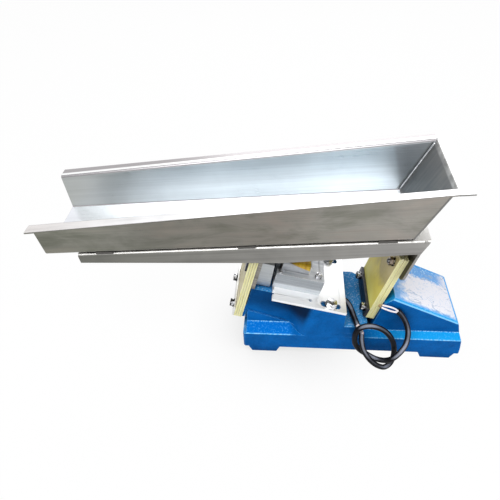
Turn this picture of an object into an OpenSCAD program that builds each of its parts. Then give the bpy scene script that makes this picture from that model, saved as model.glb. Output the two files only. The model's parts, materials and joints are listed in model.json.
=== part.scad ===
// Linear vibratory feeder: an electromagnet shakes a stainless trough
// that stands on two inclined packs of fibreglass leaf springs.
// Millimetres. X runs along the trough, +X is the closed end. Z is up.
// The origin is on the floor, under the middle of the whole object.

/* [Base casting] */
// Length of the base
base_len = 300; // [285:1:330]
// Width of the base
base_w = 107; // [100:1:130]
// Height of the feet under the slab
foot_h = 10.5; // [8:0.5:16]
// Length of the feet under the spring head
head_foot_len = 45; // [38:1:60]
// Length of the feet under the wedge block
tail_foot_len = 50; // [38:1:60]
// Width of a foot
foot_w = 28; // [20:1:40]
// Slope of a foot's ends, measured along the base
foot_slope = 5; // [3:1:10]
// Distance of a foot from the slab's end
foot_in = 7; // [4:1:12]
// Height of the slab between the feet and the bevels
slab_h = 28.5; // [24:0.5:34]
// Flare of the slab's end under the wedge block, down to the feet
tail_flare = 4; // [0:0.5:6]
// Cut off each upright corner of the slab
corner_cut = 2; // [1:0.5:6]
// Bevel along the slab under the spring head
head_bevel = 13; // [9:0.5:16]
// Bevel along the slab under the wedge block
wedge_bevel = 8.5; // [5:0.5:11]
// Distance from the slab's end to the spring head's left face
head_in = 5; // [3:0.5:8]
// Length of the spring head, up to where it swells into the middle block
head_len = 57; // [50:1:66]
// Run of that swelling along the base
head_blend = 30; // [20:1:40]
// Distance of the crease's lower end from the start of the swelling
crease_end = 5; // [0:1:12]
// Step in from the spring head's lower tier to its upper one
head_step = 2; // [1:0.5:4]
// Height of the lower tier's left edge above the slab
head_rise = 35; // [28:0.5:40]
// End of the broad middle block, measured from the head end
mid_end = 171.5; // [168:0.5:174]
// Run of the middle block's narrowing towards the wedge block
tail_blend = 16; // [8:1:24]
// Height of the saddle between the magnet plate and the rear springs
saddle_z = 61; // [56:0.5:64]
// Height of the wedge block's upper edge
wedge_top_z = 110.5; // [104:0.5:116]
// Width of the bevel on the wedge block's upper left edge
wedge_shoulder = 10; // [5:0.5:14]
// Fall of the wedge block's top, in degrees
wedge_fall = 25.7; // [20:0.1:30]
// Run of the wedge block's top, measured along the base
wedge_run = 90; // [80:1:92]
// Distance from the wedge block's foot to the slab's end
tail_in = 3; // [2:0.5:8]
// Bevel along the wedge block's top edges
wedge_edge = 3; // [1:0.5:5]

/* [Drive] */
// Lean of the leaf springs from upright, in degrees
drive_angle = 14.2; // [11:0.1:17]
// Distance of the magnet plate's upper edge from the head end
plate_x = 42; // [38:0.5:46]
// Height of the magnet plate's upper edge
plate_z = 113.5; // [110:0.5:117]
// Length of the magnet plate down the slope
plate_len = 102; // [98:1:106]
// Thickness of the magnet plate
plate_t = 4; // [3:0.5:6]
// Length of the adjusting slots
slot_len = 28; // [22:1:32]
// Width of the adjusting slots
slot_w = 9.5; // [9:0.1:12]
// Distance of a slot's far end from the plate's lower edge
slot_end = 8; // [6:0.5:12]
// Distance of a slot's centre line from the plate's side
slot_side = 9.5; // [8.5:0.5:14]
// Distance of the small holes from the plate's side
hole_side = 11.5; // [9:0.5:14]
// Distance of the broken-out small hole from the plate's upper edge
edge_hole = 1; // [0.5:0.5:2]
// Distance of the other small hole from the plate's upper edge
spare_hole = 52; // [46:1:56]
// Air gap at the foot of the armature
air_gap = 3.2; // [2.5:0.1:5]

/* [Magnet] */
// Length of the core along the drive
core_len = 65; // [58:1:70]
// Width of the core across the three legs
core_w = 62; // [58:1:70]
// Height of the lamination stack
core_h = 25.5; // [20:0.5:32]
// Width of each outer leg
leg_w = 9; // [7:0.5:12]
// Width of the middle leg
mid_leg_w = 22; // [16:1:26]
// Length of the yoke behind the windows
yoke_len = 21; // [18:1:26]
// Distance of the winding from the pole faces
coil_in = 6; // [4:0.5:10]
// Winding height over and under the core
coil_rise = 13.5; // [9:0.5:16]
// Corner radius of the winding
coil_r = 6; // [3:0.5:9]
// Distance of the winding inside its former's rim
coil_under = 0.5; // [0.2:0.1:1.5]
// Wall of the coil former
former_t = 1; // [0.8:0.1:1.6]
// Clearance of the former on the middle leg, and of the coil in the windows
coil_fit = 0.3; // [0.15:0.05:0.6]
// Room before and behind the coil, in the plate's window and the bed's pocket
coil_room_x = 3; // [2:0.5:5]
// Room beside the coil, in the plate's window and the bed's pocket
coil_room_y = 1; // [0.5:0.1:2]
// Room under the coil in the bed's pocket
coil_room_z = 2; // [1:0.5:5]
// Distance of the core's screws from its pole faces
screw_in = 5.5; // [4:0.5:9]
// Distance of the core's bolts from its back face
core_bolt_in = 8.5; // [6:0.5:12]
// Distance of the coil's lead from the middle plane
lead_side = 16; // [12:1:18]
// Depth of the coil's lead under the magnet plate's top
lead_depth = 13.5; // [12:0.5:16]
// Extra diameter of the lead's way out round the cord
lead_room = 2; // [1:0.5:3]

/* [Leaf springs] */
// Length of a leaf
leaf_len = 114; // [106:1:118]
// Width of a leaf
leaf_w = 82; // [76:1:90]
// Thickness of a leaf
leaf_t = 3; // [2.5:0.1:3.4]
// Leaves in a pack
leaves = 4; // [3:1:5]
// Distance of the bolts from a leaf's lower end
lower_bolt = 9; // [8:0.5:12]
// Distance of the upper bolts from a leaf's upper end
upper_bolt_in = 15; // [13:0.5:20]
// Distance between the two bolts of a rear clamp
rear_pitch = 60; // [50:1:66]
// Height of a clamp bar along the springs
bar_h = 16; // [13:0.5:17]
// Thickness of the rear clamp bar
bar_t = 4; // [3:0.5:6]
// Thickness of the front clamp bars
front_bar_t = 2.5; // [2:0.5:6]
// Distance between the two bolts of a front clamp
front_pitch = 50; // [46:1:62]
// Thickness of the raised pad behind the front springs
pad_t = 1.5; // [1:0.5:4]
// Place of the front springs' lower end below the plate, along the springs
front_drop = 63.5; // [60:0.5:66]
// Place of the rear springs' lower end below the plate, along the springs
rear_drop = 13.5; // [11:0.5:16]
// Seat of the rear springs, measured down the slope from the plate's edge
rear_seat = 146; // [142:0.5:150]

/* [Armature] */
// Thickness of the armature bracket
bracket_t = 5; // [4:0.5:8]
// Thickness of the armature at its foot
armature_t = 20; // [16:0.5:21]
// Lean of the armature's pole face away from the magnet, in degrees
pole_lean = 4; // [0:0.5:5]
// Height of the armature
armature_h = 40; // [34:1:46]
// Clearance between the armature and the bed
armature_lift = 2; // [1.5:0.5:4]

/* [Trough] */
// Length of the trough's floor
trough_len = 447; // [430:1:470]
// Width of the trough's floor, outside
trough_w = 100; // [96:1:120]
// Sheet thickness of the trough
sheet_t = 2; // [1.5:0.5:3]
// Depth at the discharge end, outside
depth_out = 51; // [40:1:60]
// Depth at the closed end, outside
depth_in = 71; // [60:0.5:85]
// Reach of the closed end's top past the floor, along the trough
end_reach = 39; // [30:1:50]
// Flare of the sides at the discharge end, in degrees
flare_out = 3.5; // [0:0.5:8]
// Flare of the sides at the closed end, in degrees
flare_in = 1; // [0:0.5:8]
// Width of the side lips at the discharge end
lip_out = 14.5; // [10:0.5:20]
// Width of the side lips at the closed end
lip_in = 11.5; // [10:0.5:20]
// Width of the lip across the closed end
lip_end = 15; // [10:0.5:20]
// Outside bend radius of the sheet
bend_r = 4; // [3.5:0.5:6]
// Slope of the trough's floor towards the discharge, in degrees
trough_slope = 4.6; // [4:0.1:5.2]
// Reach of the frame's tip past the floor's closed end, along the trough
tip_past = 19.1; // [10:0.1:26]

/* [Frame under the trough] */
// Gap between the trough and the frame, filled by the spacer bars
frame_gap = 3; // [2:0.5:5]
// Sheet thickness of the frame
frame_t = 3; // [2.5:0.5:4]
// Distance of the frame's left end from the trough's
frame_start = 40; // [20:1:60]
// Inset of the frame's sides from the trough's
frame_inset = 0.5; // [0:0.5:2]
// Side depth at the left end
frame_d0 = 13.5; // [10:0.5:18]
// Side depth at its deepest place
frame_d1 = 26; // [22:0.5:30]
// Distance of the deepest place from the frame's left end
frame_kink = 258; // [230:1:280]
// Side depth near the inclined end
frame_d2 = 19.5; // [16:0.5:22]
// Length of the inclined end above the rear springs' upper bolts
tip_rise = 56.3; // [50:0.1:62]
// Length of the inclined end below those bolts
tip_drop = 15.7; // [13:0.1:19]
// Radius of the inclined end's lower corners
frame_end_r = 10; // [6:1:14]
// Overrun of the web and sides past the inclined end
frame_overrun = 3.5; // [0:0.5:6]
// Clearance between the rear springs and the inclined end
seat_gap = 0.02; // [0.02:0.01:0.2]
// Run of the level lower edge beside the inclined end
frame_flat = 10; // [5:1:20]
// Length of a spacer bar along the trough
spacer_len = 22; // [16:1:30]
// Distance of the first spacer bar from the frame's left end
spacer_first = 25; // [10:1:50]
// Distance of the middle spacer bar from the frame's deepest place
spacer_mid = 31; // [10:1:60]
// Distance of the last spacer bar from the frame's tip
spacer_last = 34; // [24:1:50]

/* [Fasteners] */
// Diameter of the clamp bolts
bolt_d = 6; // [5:0.5:6]
// Diameter of the magnet plate's bolts
plate_bolt_d = 8; // [6:0.5:8]
// Diameter of the core's bolts
core_bolt_d = 5; // [4:0.5:5]
// Extra diameter of a clearance hole
hole_extra = 0.6; // [0.4:0.1:1]
// Extra diameter of a tapped hole over the bolt
tap_extra = 0.3; // [0.2:0.1:0.6]
// Depth of a bolt in its tapped hole
tap_depth = 16; // [12:1:20]
// Length of a tapped hole past the bolt's end
tap_spare = 2; // [1:0.5:4]
// Length of thread that shows past a nut
thread_out = 2; // [1:0.5:4]

/* [Cord] */
// Diameter of the cord
cord_d = 7.5; // [7:0.5:8]
// Diameter of an inner wire
wire_d = 2.4; // [2:0.1:3]

/* [Hidden] */
$fn = 48;

skip = 0.01;              // overrun of a cut past the face it opens
far = 600;                // longer than any piece

// Heights and places of the base
slab_z = foot_h + slab_h;
block_w = base_w - 2 * head_bevel;
tier_w = block_w - 2 * head_step;
wedge_w = base_w - 2 * wedge_bevel;
bed_b = -plate_t;         // the bed, in the drive frame
pack_t = leaves * leaf_t;
folds = 5;                // flats round a fold of the sheet
swell_steps = 10;         // flats round the casting's blends

// Places along the drive, measured from the plate's upper edge down the slope
pole_x = -1;
upper_bolt = leaf_len - upper_bolt_in;
front_seat = pole_x - air_gap - armature_t - bracket_t;
head_face = front_seat + pad_t;
coil_x0 = pole_x + coil_in;
coil_x1 = pole_x + core_len - yoke_len - coil_fit - former_t;
armature_b = bed_b + armature_lift;

// Trough
end_lean = atan(end_reach / depth_in);
tip_x = trough_len + tip_past;
frame_w = trough_w - 2 * frame_inset;
frame_lean = drive_angle + trough_slope;
end_face = rear_seat + seat_gap + frame_t;

// The whole object, for the origin
tip_b = upper_bolt - rear_drop + tip_rise;
x_low = drive_px(end_face, tip_b) - tip_x * cos(trough_slope) - (frame_gap + depth_out) * sin(trough_slope);
origin_x = (x_low + base_len + tail_flare) / 2;

// Threaded fastener sizes from the diameter
function head_w(d) = d * 1.65;
function head_h(d) = d * 0.66;
function nut_h(d) = d * 0.8;
function washer_d(d) = d * 2;
function washer_t(d) = d * 0.25;

// Points and heights on the inclined planes of the drive
function drive_px(a, b) = plate_x + a * cos(drive_angle) + b * sin(drive_angle);
function drive_pz(a, b) = plate_z - a * sin(drive_angle) + b * cos(drive_angle);
function seat_x(a, z) = plate_x + a / cos(drive_angle) + (z - plate_z) * tan(drive_angle);

wedge_left_x = seat_x(rear_seat, wedge_top_z) + wedge_shoulder;
wedge_right_x = wedge_left_x + wedge_run;
wedge_right_z = wedge_top_z - wedge_run * tan(wedge_fall);
wedge_shoulder_z = wedge_top_z - wedge_shoulder;

// ---------------------------------------------------------------- frames

module place() { translate([-origin_x, 0, 0]) children(); }

// x down the slope of the magnet plate, z up along the springs
module drive_frame() { translate([plate_x, 0, plate_z]) rotate([0, drive_angle, 0]) children(); }

// x along the trough's floor from the discharge end, z square to the floor
module trough_frame_axes() {
    translate([drive_px(end_face, tip_b), 0, drive_pz(end_face, tip_b)]) rotate([0, -trough_slope, 0])
        translate([-tip_x, 0, frame_gap]) children();
}

// a profile in X and Z, drawn out to a width along Y
module across(w) { rotate([90, 0, 0]) linear_extrude(w, center = true) children(); }

// a profile in Y and Z, drawn out along X from x0 to x1
module along(x0, x1) { translate([x0, 0, 0]) rotate([90, 0, 90]) linear_extrude(x1 - x0) children(); }

module both_sides(y) { for (s = [-1, 1]) translate([0, s * y, 0]) children(); }

// ------------------------------------------------------------- fasteners
// Each one points along +X from the face that it clamps, at X = 0.

module turn_x() { rotate([0, 90, 0]) children(); }

module hex_bolt(d, reach) {
    turn_x() {
        cylinder(d = d, h = reach);
        translate([0, 0, -head_h(d)]) cylinder(d = head_w(d) / cos(30), h = head_h(d), $fn = 6);
    }
}

module ring(d_out, d_in, h) {
    turn_x() difference() {
        cylinder(d = d_out, h = h);
        translate([0, 0, -skip]) cylinder(d = d_in, h = h + 2 * skip);
    }
}

module hex_nut(d) {
    turn_x() difference() {
        cylinder(d = head_w(d) / cos(30), h = nut_h(d), $fn = 6);
        translate([0, 0, -skip]) cylinder(d = d + tap_extra, h = nut_h(d) + 2 * skip);
    }
}

module bore_x(d, x0, x1) { translate([x0, 0, 0]) turn_x() cylinder(d = d, h = x1 - x0); }

// the two bolt lines of a clamp, at a height b along the springs
module front_lines(b) { both_sides(front_pitch / 2) translate([0, 0, b]) children(); }

module rear_lines(b) { both_sides(rear_pitch / 2) translate([0, 0, b]) children(); }

// ------------------------------------------------------------------ base

// plan of the slab up to x1, with its corners cut
module plan(x1) {
    c = corner_cut;
    w = base_w / 2;
    linear_extrude(far)
        polygon([[c, -w], [x1 - c, -w], [x1, c - w], [x1, w - c], [x1 - c, w], [c, w], [0, w - c], [0, c - w]]);
}

module slab() {
    intersection() {
        plan(base_len + tail_flare);
        across(base_w) polygon([[0, foot_h], [base_len + tail_flare, foot_h], [base_len, slab_z], [0, slab_z]]);
    }
}

module foot(x, length) {
    translate([x, 0, 0]) across(foot_w) polygon([[foot_slope, 0], [length - foot_slope, 0],
                                                 [length, foot_h + skip], [0, foot_h + skip]]);
}

module feet() {
    both_sides((base_w - foot_w) / 2) {
        foot(foot_in, head_foot_len);
        foot(base_len + tail_flare - foot_in - tail_foot_len, tail_foot_len);
    }
}

// bevelled band on top of the slab, from x0 to x1
module bevel_band(x0, x1, bevel) {
    intersection() {
        along(x0, x1) polygon([[-base_w / 2, slab_z - skip], [base_w / 2, slab_z - skip],
                               [base_w / 2 - bevel, slab_z + bevel], [bevel - base_w / 2, slab_z + bevel]]);
        plan(base_len);
    }
}

module head_block() {
    top = slab_z + head_bevel;
    low = head_len + crease_end;
    intersection() {
        bevel_band(0, head_len + head_blend, head_bevel);
        across(far) polygon([[head_in / 2, 0], [far, 0], [far, top], [head_in, top]]);
    }
    // lower tier, as high as the crease across its face, and upper tier up to the bed
    across(block_w) polygon([[head_in, top - skip], [low, top - skip], [low, top + 1],
                             [head_in + head_step, slab_z + head_rise]]);
    intersection() {
        translate([0, 0, slab_z]) along(head_in, drive_px(plate_len / 2, bed_b))
            polygon([[-tier_w / 2, 0], [tier_w / 2, 0], [tier_w / 2, far], [-tier_w / 2, far]]);
        below_bed();
        drive_frame() translate([head_face, -far / 2, -far / 2]) cube([far, far, far]);
    }
    drive_frame() translate([front_seat, -tier_w / 2, -front_drop])
        cube([pad_t + head_step, tier_w, lower_bolt + bar_h]);
}

module below_bed() { drive_frame() translate([-far / 2, -far / 2, -far + bed_b]) cube([far, far, far]); }

// soft S from [x0, y0] to [x1, y1] in plan
function swell(x0, x1, y0, y1) = [for (i = [0 : swell_steps]) let(t = i / swell_steps)
    [x0 + (x1 - x0) * t, y0 + (y1 - y0) * (1 - cos(180 * t)) / 2]];

// broad block, which swells out of the spring head and narrows towards the wedge block
module mid_block() {
    w = base_w / 2;
    side = concat(swell(head_len, head_len + head_blend, tier_w / 2, w),
                  swell(mid_end - tail_blend, mid_end, w, wedge_w / 2));
    far_side = [for (i = [len(side) - 1 : -1 : 0]) [side[i][0], -side[i][1]]];
    intersection() {
        translate([0, 0, slab_z - skip]) linear_extrude(far) polygon(concat(side, far_side));
        union() {
            intersection() {
                below_bed();
                cube([2 * drive_px(plate_len, bed_b), far, far], center = true);
            }
            cube([2 * mid_end, far, 2 * saddle_z], center = true);
        }
    }
}

module wedge_block() {
    difference() {
        across(wedge_w) polygon([
            [seat_x(rear_seat, slab_z), slab_z - skip],
            [seat_x(rear_seat, wedge_shoulder_z), wedge_shoulder_z],
            [wedge_left_x, wedge_top_z],
            [wedge_right_x - wedge_edge, wedge_right_z + wedge_edge * tan(wedge_fall)],
            [wedge_right_x + wedge_edge / 4, wedge_right_z - wedge_edge],
            [base_len - tail_in, slab_z + wedge_bevel],
            [base_len - tail_in, slab_z - skip]]);
        // bevels along the two sloping edges
        translate([wedge_left_x, 0, wedge_top_z]) rotate([0, wedge_fall, 0]) both_sides(wedge_w / 2)
            rotate([45, 0, 0]) cube([far, wedge_edge * sqrt(2), wedge_edge * sqrt(2)], center = true);
    }
    intersection() {
        bevel_band(mid_end - tail_blend, base_len, wedge_bevel);
        across(far) polygon([[0, 0], [base_len, 0], [base_len, slab_z],
                             [base_len - tail_in, slab_z + wedge_bevel], [0, slab_z + wedge_bevel]]);
    }
}

module base_casting() {
    color([0.02, 0.30, 0.62]) place() difference() {
        union() {
            slab();
            feet();
            head_block();
            mid_block();
            wedge_block();
        }
        drive_frame() {
            // tapped holes of the two lower clamps
            front_lines(lower_bolt - front_drop)
                bore_x(bolt_d + tap_extra, front_seat - skip, front_seat + tap_depth + tap_spare);
            rear_lines(lower_bolt - rear_drop)
                bore_x(bolt_d + tap_extra, rear_seat - skip, rear_seat + tap_depth + tap_spare);
            // tapped holes of the magnet plate
            plate_bolt_lines() translate([0, 0, bed_b - tap_depth - tap_spare])
                cylinder(d = plate_bolt_d + tap_extra, h = tap_depth + tap_spare + skip);
            // pocket under the coil, and the way out for its lead
            coil_window(-coil_rise - coil_room_z, far);
            lead_line() cylinder(d = cord_d + lead_room, h = plate_len);
        }
    }
}

// ---------------------------------------------------------------- magnet

module plate_bolt_lines() {
    both_sides(base_w / 2 - slot_side) translate([plate_len - slot_end - slot_len / 2, 0, 0]) children();
}

module lead_line() {
    translate([coil_x1 + 1, -lead_side, -lead_depth]) turn_x() children();
}

// opening round the coil, from a height b up by h
module coil_window(b, h) {
    w = core_w - 2 * leg_w + 2 * coil_room_y;
    translate([coil_x0 - coil_room_x, -w / 2, b]) cube([coil_x1 - coil_x0 + 2 * coil_room_x, w, h]);
}

module magnet_plate() {
    run = slot_len - slot_w;
    color([0.86, 0.88, 0.90]) place() drive_frame() difference() {
        translate([0, -base_w / 2, -plate_t]) cube([plate_len, base_w, plate_t]);
        plate_bolt_lines() {
            for (s = [-1, 1]) translate([s * run / 2, 0, -plate_t - skip])
                cylinder(d = slot_w, h = plate_t + 2 * skip);
            translate([-run / 2, -slot_w / 2, -plate_t - skip]) cube([run, slot_w, plate_t + 2 * skip]);
        }
        // two small screw holes on each side, one of them broken out at the upper edge
        for (x = [edge_hole, spare_hole]) both_sides(base_w / 2 - hole_side) translate([x, 0, -plate_t - skip])
            cylinder(d = core_bolt_d, h = plate_t + 2 * skip);
        coil_window(-plate_t - skip, plate_t + 2 * skip);
        core_bolt_lines() translate([0, 0, -plate_t - skip])
            cylinder(d = core_bolt_d + tap_extra, h = plate_t + 2 * skip);
        core_screw_lines() translate([0, 0, -plate_t - skip])
            cylinder(d = core_bolt_d - 1 + tap_extra, h = plate_t + 2 * skip);
    }
}

module down() { rotate([0, 90, 0]) children(); }

module plate_bolts() {
    color([0.80, 0.81, 0.82]) place() drive_frame() plate_bolt_lines()
        translate([0, 0, washer_t(plate_bolt_d)]) down() hex_bolt(plate_bolt_d, tap_depth + plate_t);
}

module plate_washers() {
    color([0.90, 0.90, 0.90]) place() drive_frame() plate_bolt_lines()
        translate([0, 0, washer_t(plate_bolt_d)]) down()
            ring(washer_d(plate_bolt_d), plate_bolt_d + hole_extra, washer_t(plate_bolt_d));
}

// bolts through the yoke, and small screws at the ends of the outer legs
module core_bolt_lines() {
    both_sides(core_w / 2 - leg_w) translate([pole_x + core_len - core_bolt_in, 0, 0]) children();
}

module core_screw_lines() { both_sides((core_w - leg_w) / 2) translate([pole_x + screw_in, 0, 0]) children(); }

module magnet_core() {
    window_len = core_len - yoke_len;
    window_w = (core_w - mid_leg_w) / 2 - leg_w;
    color([0.68, 0.70, 0.72]) place() drive_frame() difference() {
        translate([pole_x, -core_w / 2, 0]) cube([core_len, core_w, core_h]);
        for (s = [-1, 1]) translate([pole_x - skip, s * (mid_leg_w + window_w) / 2 - window_w / 2, -skip])
            cube([window_len + skip, window_w, core_h + 2 * skip]);
        core_bolt_lines() translate([0, 0, -skip])
            cylinder(d = core_bolt_d + hole_extra, h = core_h + 2 * skip);
        core_screw_lines() translate([0, 0, -skip])
            cylinder(d = core_bolt_d - 1 + hole_extra, h = core_h + 2 * skip);
    }
}

// rectangular tube round the middle leg, grown outwards by g from the former's bore
module leg_tube(x0, x1, g) {
    translate([x0, -mid_leg_w / 2 - g, -g]) cube([x1 - x0, mid_leg_w + 2 * g, core_h + 2 * g]);
}

module coil_former() {
    window_w = (core_w - mid_leg_w) / 2 - leg_w;
    rim_y = window_w - coil_fit;
    color([0.15, 0.14, 0.13]) place() drive_frame() difference() {
        union() {
            leg_tube(coil_x0 - former_t, coil_x1 + former_t, coil_fit + former_t);
            for (x = [coil_x0 - former_t, coil_x1]) translate([x, -mid_leg_w / 2 - rim_y, -coil_rise])
                cube([former_t, mid_leg_w + 2 * rim_y, core_h + 2 * coil_rise]);
        }
        leg_tube(coil_x0 - 2 * former_t, coil_x1 + 2 * former_t, coil_fit);
    }
}

// wound and taped, with round corners
module coil() {
    window_w = (core_w - mid_leg_w) / 2 - leg_w;
    r = coil_r;
    out_y = mid_leg_w / 2 + window_w - coil_fit - coil_under;
    out_b = coil_rise - coil_under;
    color([0.86, 0.66, 0.08]) place() drive_frame() difference() {
        along(coil_x0, coil_x1) {
            translate([-out_y + r, -out_b]) square([2 * (out_y - r), core_h + 2 * out_b]);
            translate([-out_y, r - out_b]) square([2 * out_y, core_h + 2 * (out_b - r)]);
            for (y = [r - out_y, out_y - r], b = [r - out_b, core_h + out_b - r]) translate([y, b]) circle(r = r);
        }
        leg_tube(coil_x0 - skip, coil_x1 + skip, coil_fit + former_t);
    }
}

module core_bolts() {
    color([0.78, 0.79, 0.80]) place() drive_frame() core_bolt_lines() translate([0, 0, -plate_t])
        cylinder(d = core_bolt_d, h = plate_t + core_h + washer_t(core_bolt_d) + nut_h(core_bolt_d) + thread_out);
}

module core_washers() {
    color([0.90, 0.90, 0.90]) place() drive_frame() core_bolt_lines()
        translate([0, 0, core_h + washer_t(core_bolt_d)]) down()
            ring(washer_d(core_bolt_d), core_bolt_d + hole_extra, washer_t(core_bolt_d));
}

module core_nuts() {
    color([0.78, 0.79, 0.80]) place() drive_frame() core_bolt_lines()
        translate([0, 0, core_h + washer_t(core_bolt_d) + nut_h(core_bolt_d)]) down() hex_nut(core_bolt_d);
}

module core_screws() {
    d = core_bolt_d - 1;
    color([0.85, 0.85, 0.86]) place() drive_frame() core_screw_lines() {
        translate([0, 0, -plate_t]) cylinder(d = d, h = plate_t + core_h);
        translate([0, 0, core_h]) cylinder(d = d * 1.75, h = d * 0.6);
    }
}

// --------------------------------------------------------------- springs

// Children of these two are drawn at each bolt line, from the right face
// of the pack's clamp at X = 0, and at a height h above the leaves' lower end.

module front_clamp(h) { drive_frame() translate([front_seat, 0, 0]) front_lines(h - front_drop) children(); }

module rear_clamp(h) { drive_frame() translate([rear_seat, 0, 0]) rear_lines(h - rear_drop) children(); }

// upright slab left of X = 0 in the drive frame, its right face at a, its middle at b
module leaf_slab(a, b, t, h) { translate([a - t, -leaf_w / 2, b - h / 2]) cube([t, leaf_w, h]); }

module leaf_colour() { color([0.80, 0.80, 0.45]) place() children(); }

module front_springs() {
    leaf_colour() for (i = [0 : leaves - 1]) difference() {
        drive_frame() leaf_slab(front_seat - i * leaf_t, leaf_len / 2 - front_drop, leaf_t, leaf_len);
        for (h = [lower_bolt, upper_bolt]) front_clamp(h)
            bore_x(bolt_d + hole_extra, -(i + 1) * leaf_t - skip, skip - i * leaf_t);
    }
}

module rear_springs() {
    leaf_colour() for (i = [0 : leaves - 1]) difference() {
        drive_frame() leaf_slab(rear_seat - i * leaf_t, leaf_len / 2 - rear_drop, leaf_t, leaf_len);
        for (h = [lower_bolt, upper_bolt]) rear_clamp(h)
            bore_x(bolt_d + hole_extra, -(i + 1) * leaf_t - skip, skip - i * leaf_t);
    }
}

module front_bar(h) {
    color([0.45, 0.46, 0.48]) place() difference() {
        drive_frame() leaf_slab(front_seat - pack_t, h - front_drop, front_bar_t, bar_h);
        front_clamp(h) bore_x(bolt_d + hole_extra, -pack_t - front_bar_t - skip, skip - pack_t);
    }
}

module front_lower_bar() { front_bar(lower_bolt); }

module front_upper_bar() { front_bar(upper_bolt); }

module rear_lower_bar() {
    color([0.45, 0.46, 0.48]) place() difference() {
        drive_frame() leaf_slab(rear_seat - pack_t, lower_bolt - rear_drop, bar_t, bar_h);
        rear_clamp(lower_bolt) bore_x(bolt_d + hole_extra, -pack_t - bar_t - skip, skip - pack_t);
    }
}

// bolt from the left through a washer, a bar of thickness t and the leaves, and on by reach
module clamp_bolt(t, reach) {
    under = pack_t + t + washer_t(bolt_d);
    translate([-under, 0, 0]) hex_bolt(bolt_d, under + reach);
}

module clamp_washer(t) {
    translate([-pack_t - t - washer_t(bolt_d), 0, 0])
        ring(washer_d(bolt_d), bolt_d + hole_extra, washer_t(bolt_d));
}

module bolt_colour() { color([0.75, 0.76, 0.77]) place() children(); }

module washer_colour() { color([0.85, 0.85, 0.86]) place() children(); }

module front_lower_bolts() { bolt_colour() front_clamp(lower_bolt) clamp_bolt(front_bar_t, tap_depth); }

module front_upper_bolts() { bolt_colour() front_clamp(upper_bolt) clamp_bolt(front_bar_t, bracket_t); }

module rear_lower_bolts() { bolt_colour() rear_clamp(lower_bolt) clamp_bolt(bar_t, tap_depth); }

module front_lower_washers() { washer_colour() front_clamp(lower_bolt) clamp_washer(front_bar_t); }

module front_upper_washers() { washer_colour() front_clamp(upper_bolt) clamp_washer(front_bar_t); }

module rear_lower_washers() { washer_colour() rear_clamp(lower_bolt) clamp_washer(bar_t); }

// the rear pack hangs on bolts from outside, with a washer and a nut on the leaves
module rear_upper_bolts() {
    reach = seat_gap + frame_t + pack_t + washer_t(bolt_d) + nut_h(bolt_d) + thread_out;
    bolt_colour() rear_clamp(upper_bolt) translate([seat_gap + frame_t, 0, 0]) mirror([1, 0, 0])
        hex_bolt(bolt_d, reach);
}

module rear_upper_washers() { washer_colour() rear_clamp(upper_bolt) clamp_washer(0); }

module rear_upper_nuts() {
    color([0.70, 0.68, 0.64]) place() rear_clamp(upper_bolt)
        translate([-pack_t - washer_t(bolt_d) - nut_h(bolt_d), 0, 0]) hex_nut(bolt_d);
}

// -------------------------------------------------------------- armature

module armature_screw_lines() {
    both_sides(core_w / 4) translate([0, 0, armature_b + armature_h / 2]) children();
}

module armature_bracket() {
    color([0.50, 0.48, 0.45]) place() difference() {
        drive_frame() difference() {
            translate([front_seat, -leaf_w / 2, armature_b]) cube([bracket_t, leaf_w, 2 * leaf_len]);
            front_lines(upper_bolt - front_drop)
                bore_x(bolt_d + tap_extra, front_seat - skip, front_seat + bracket_t + skip);
            armature_screw_lines() {
                bore_x(bolt_d + hole_extra, front_seat - skip, front_seat + bracket_t + skip);
                translate([front_seat - skip, 0, 0]) turn_x()
                    cylinder(d1 = 2 * bolt_d + hole_extra, d2 = bolt_d + hole_extra, h = bolt_d / 2 + skip);
            }
        }
        // cut square under the frame's web
        trough_frame_axes() translate([0, -far / 2, -frame_gap - frame_t]) cube([far, far, far]);
    }
}

module armature() {
    x0 = front_seat + bracket_t;
    color([0.72, 0.73, 0.73]) place() drive_frame() difference() {
        across(core_w) polygon([[x0, armature_b], [x0 + armature_t, armature_b],
                                [x0 + armature_t - armature_h * tan(pole_lean), armature_b + armature_h],
                                [x0, armature_b + armature_h]]);
        armature_screw_lines() bore_x(bolt_d + tap_extra, x0 - skip, x0 + armature_t / 2 + 1);
    }
}

module armature_screws() {
    color([0.60, 0.60, 0.60]) place() drive_frame() armature_screw_lines() translate([front_seat, 0, 0]) turn_x() {
        cylinder(d = bolt_d, h = bracket_t + armature_t / 2);
        cylinder(d1 = 2 * bolt_d, d2 = bolt_d, h = bolt_d / 2);
    }
}

// ---------------------------------------------------------------- trough

// Half of the sheet's section at a depth h: floor, fold, flared side, fold
// and lip. Radius r1 is used at the floor's fold and r2 at the lip's.
function fold_low(w, lean, r) = let(k = bend_r * tan((90 - lean) / 2))
    [for (i = [0 : folds]) let(a = -lean - i * (90 - lean) / folds)
        [w / 2 - k + r * cos(a), bend_r + r * sin(a)]];
function fold_high(w, lean, h, r) =
    let(z = h - bend_r, y = w / 2 + z * tan(lean) + (bend_r - sheet_t) / cos(lean))
    [for (i = [0 : folds]) let(a = 90 + i * (90 - lean) / folds) [y + r * cos(a), z + r * sin(a)]];
function half_skin(w, lean, h, lip, z, r1, r2) = concat(
    [[w / 2 + h * tan(lean) + lip, z]], fold_high(w, lean, h, r2), fold_low(w, lean, r1));
function mirrored(p) = [for (i = [len(p) - 1 : -1 : 0]) [-p[i][0], p[i][1]]];
function sheet_section(w, lean, h, lip) =
    let(top = half_skin(w, lean, h, lip, h, bend_r - sheet_t, bend_r),
        under = half_skin(w, lean, h, lip, h - sheet_t, bend_r, bend_r - sheet_t))
    concat(top, mirrored(top), [for (p = under) [-p[0], p[1]]],
           [for (i = [len(under) - 1 : -1 : 0]) under[i]]);

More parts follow.
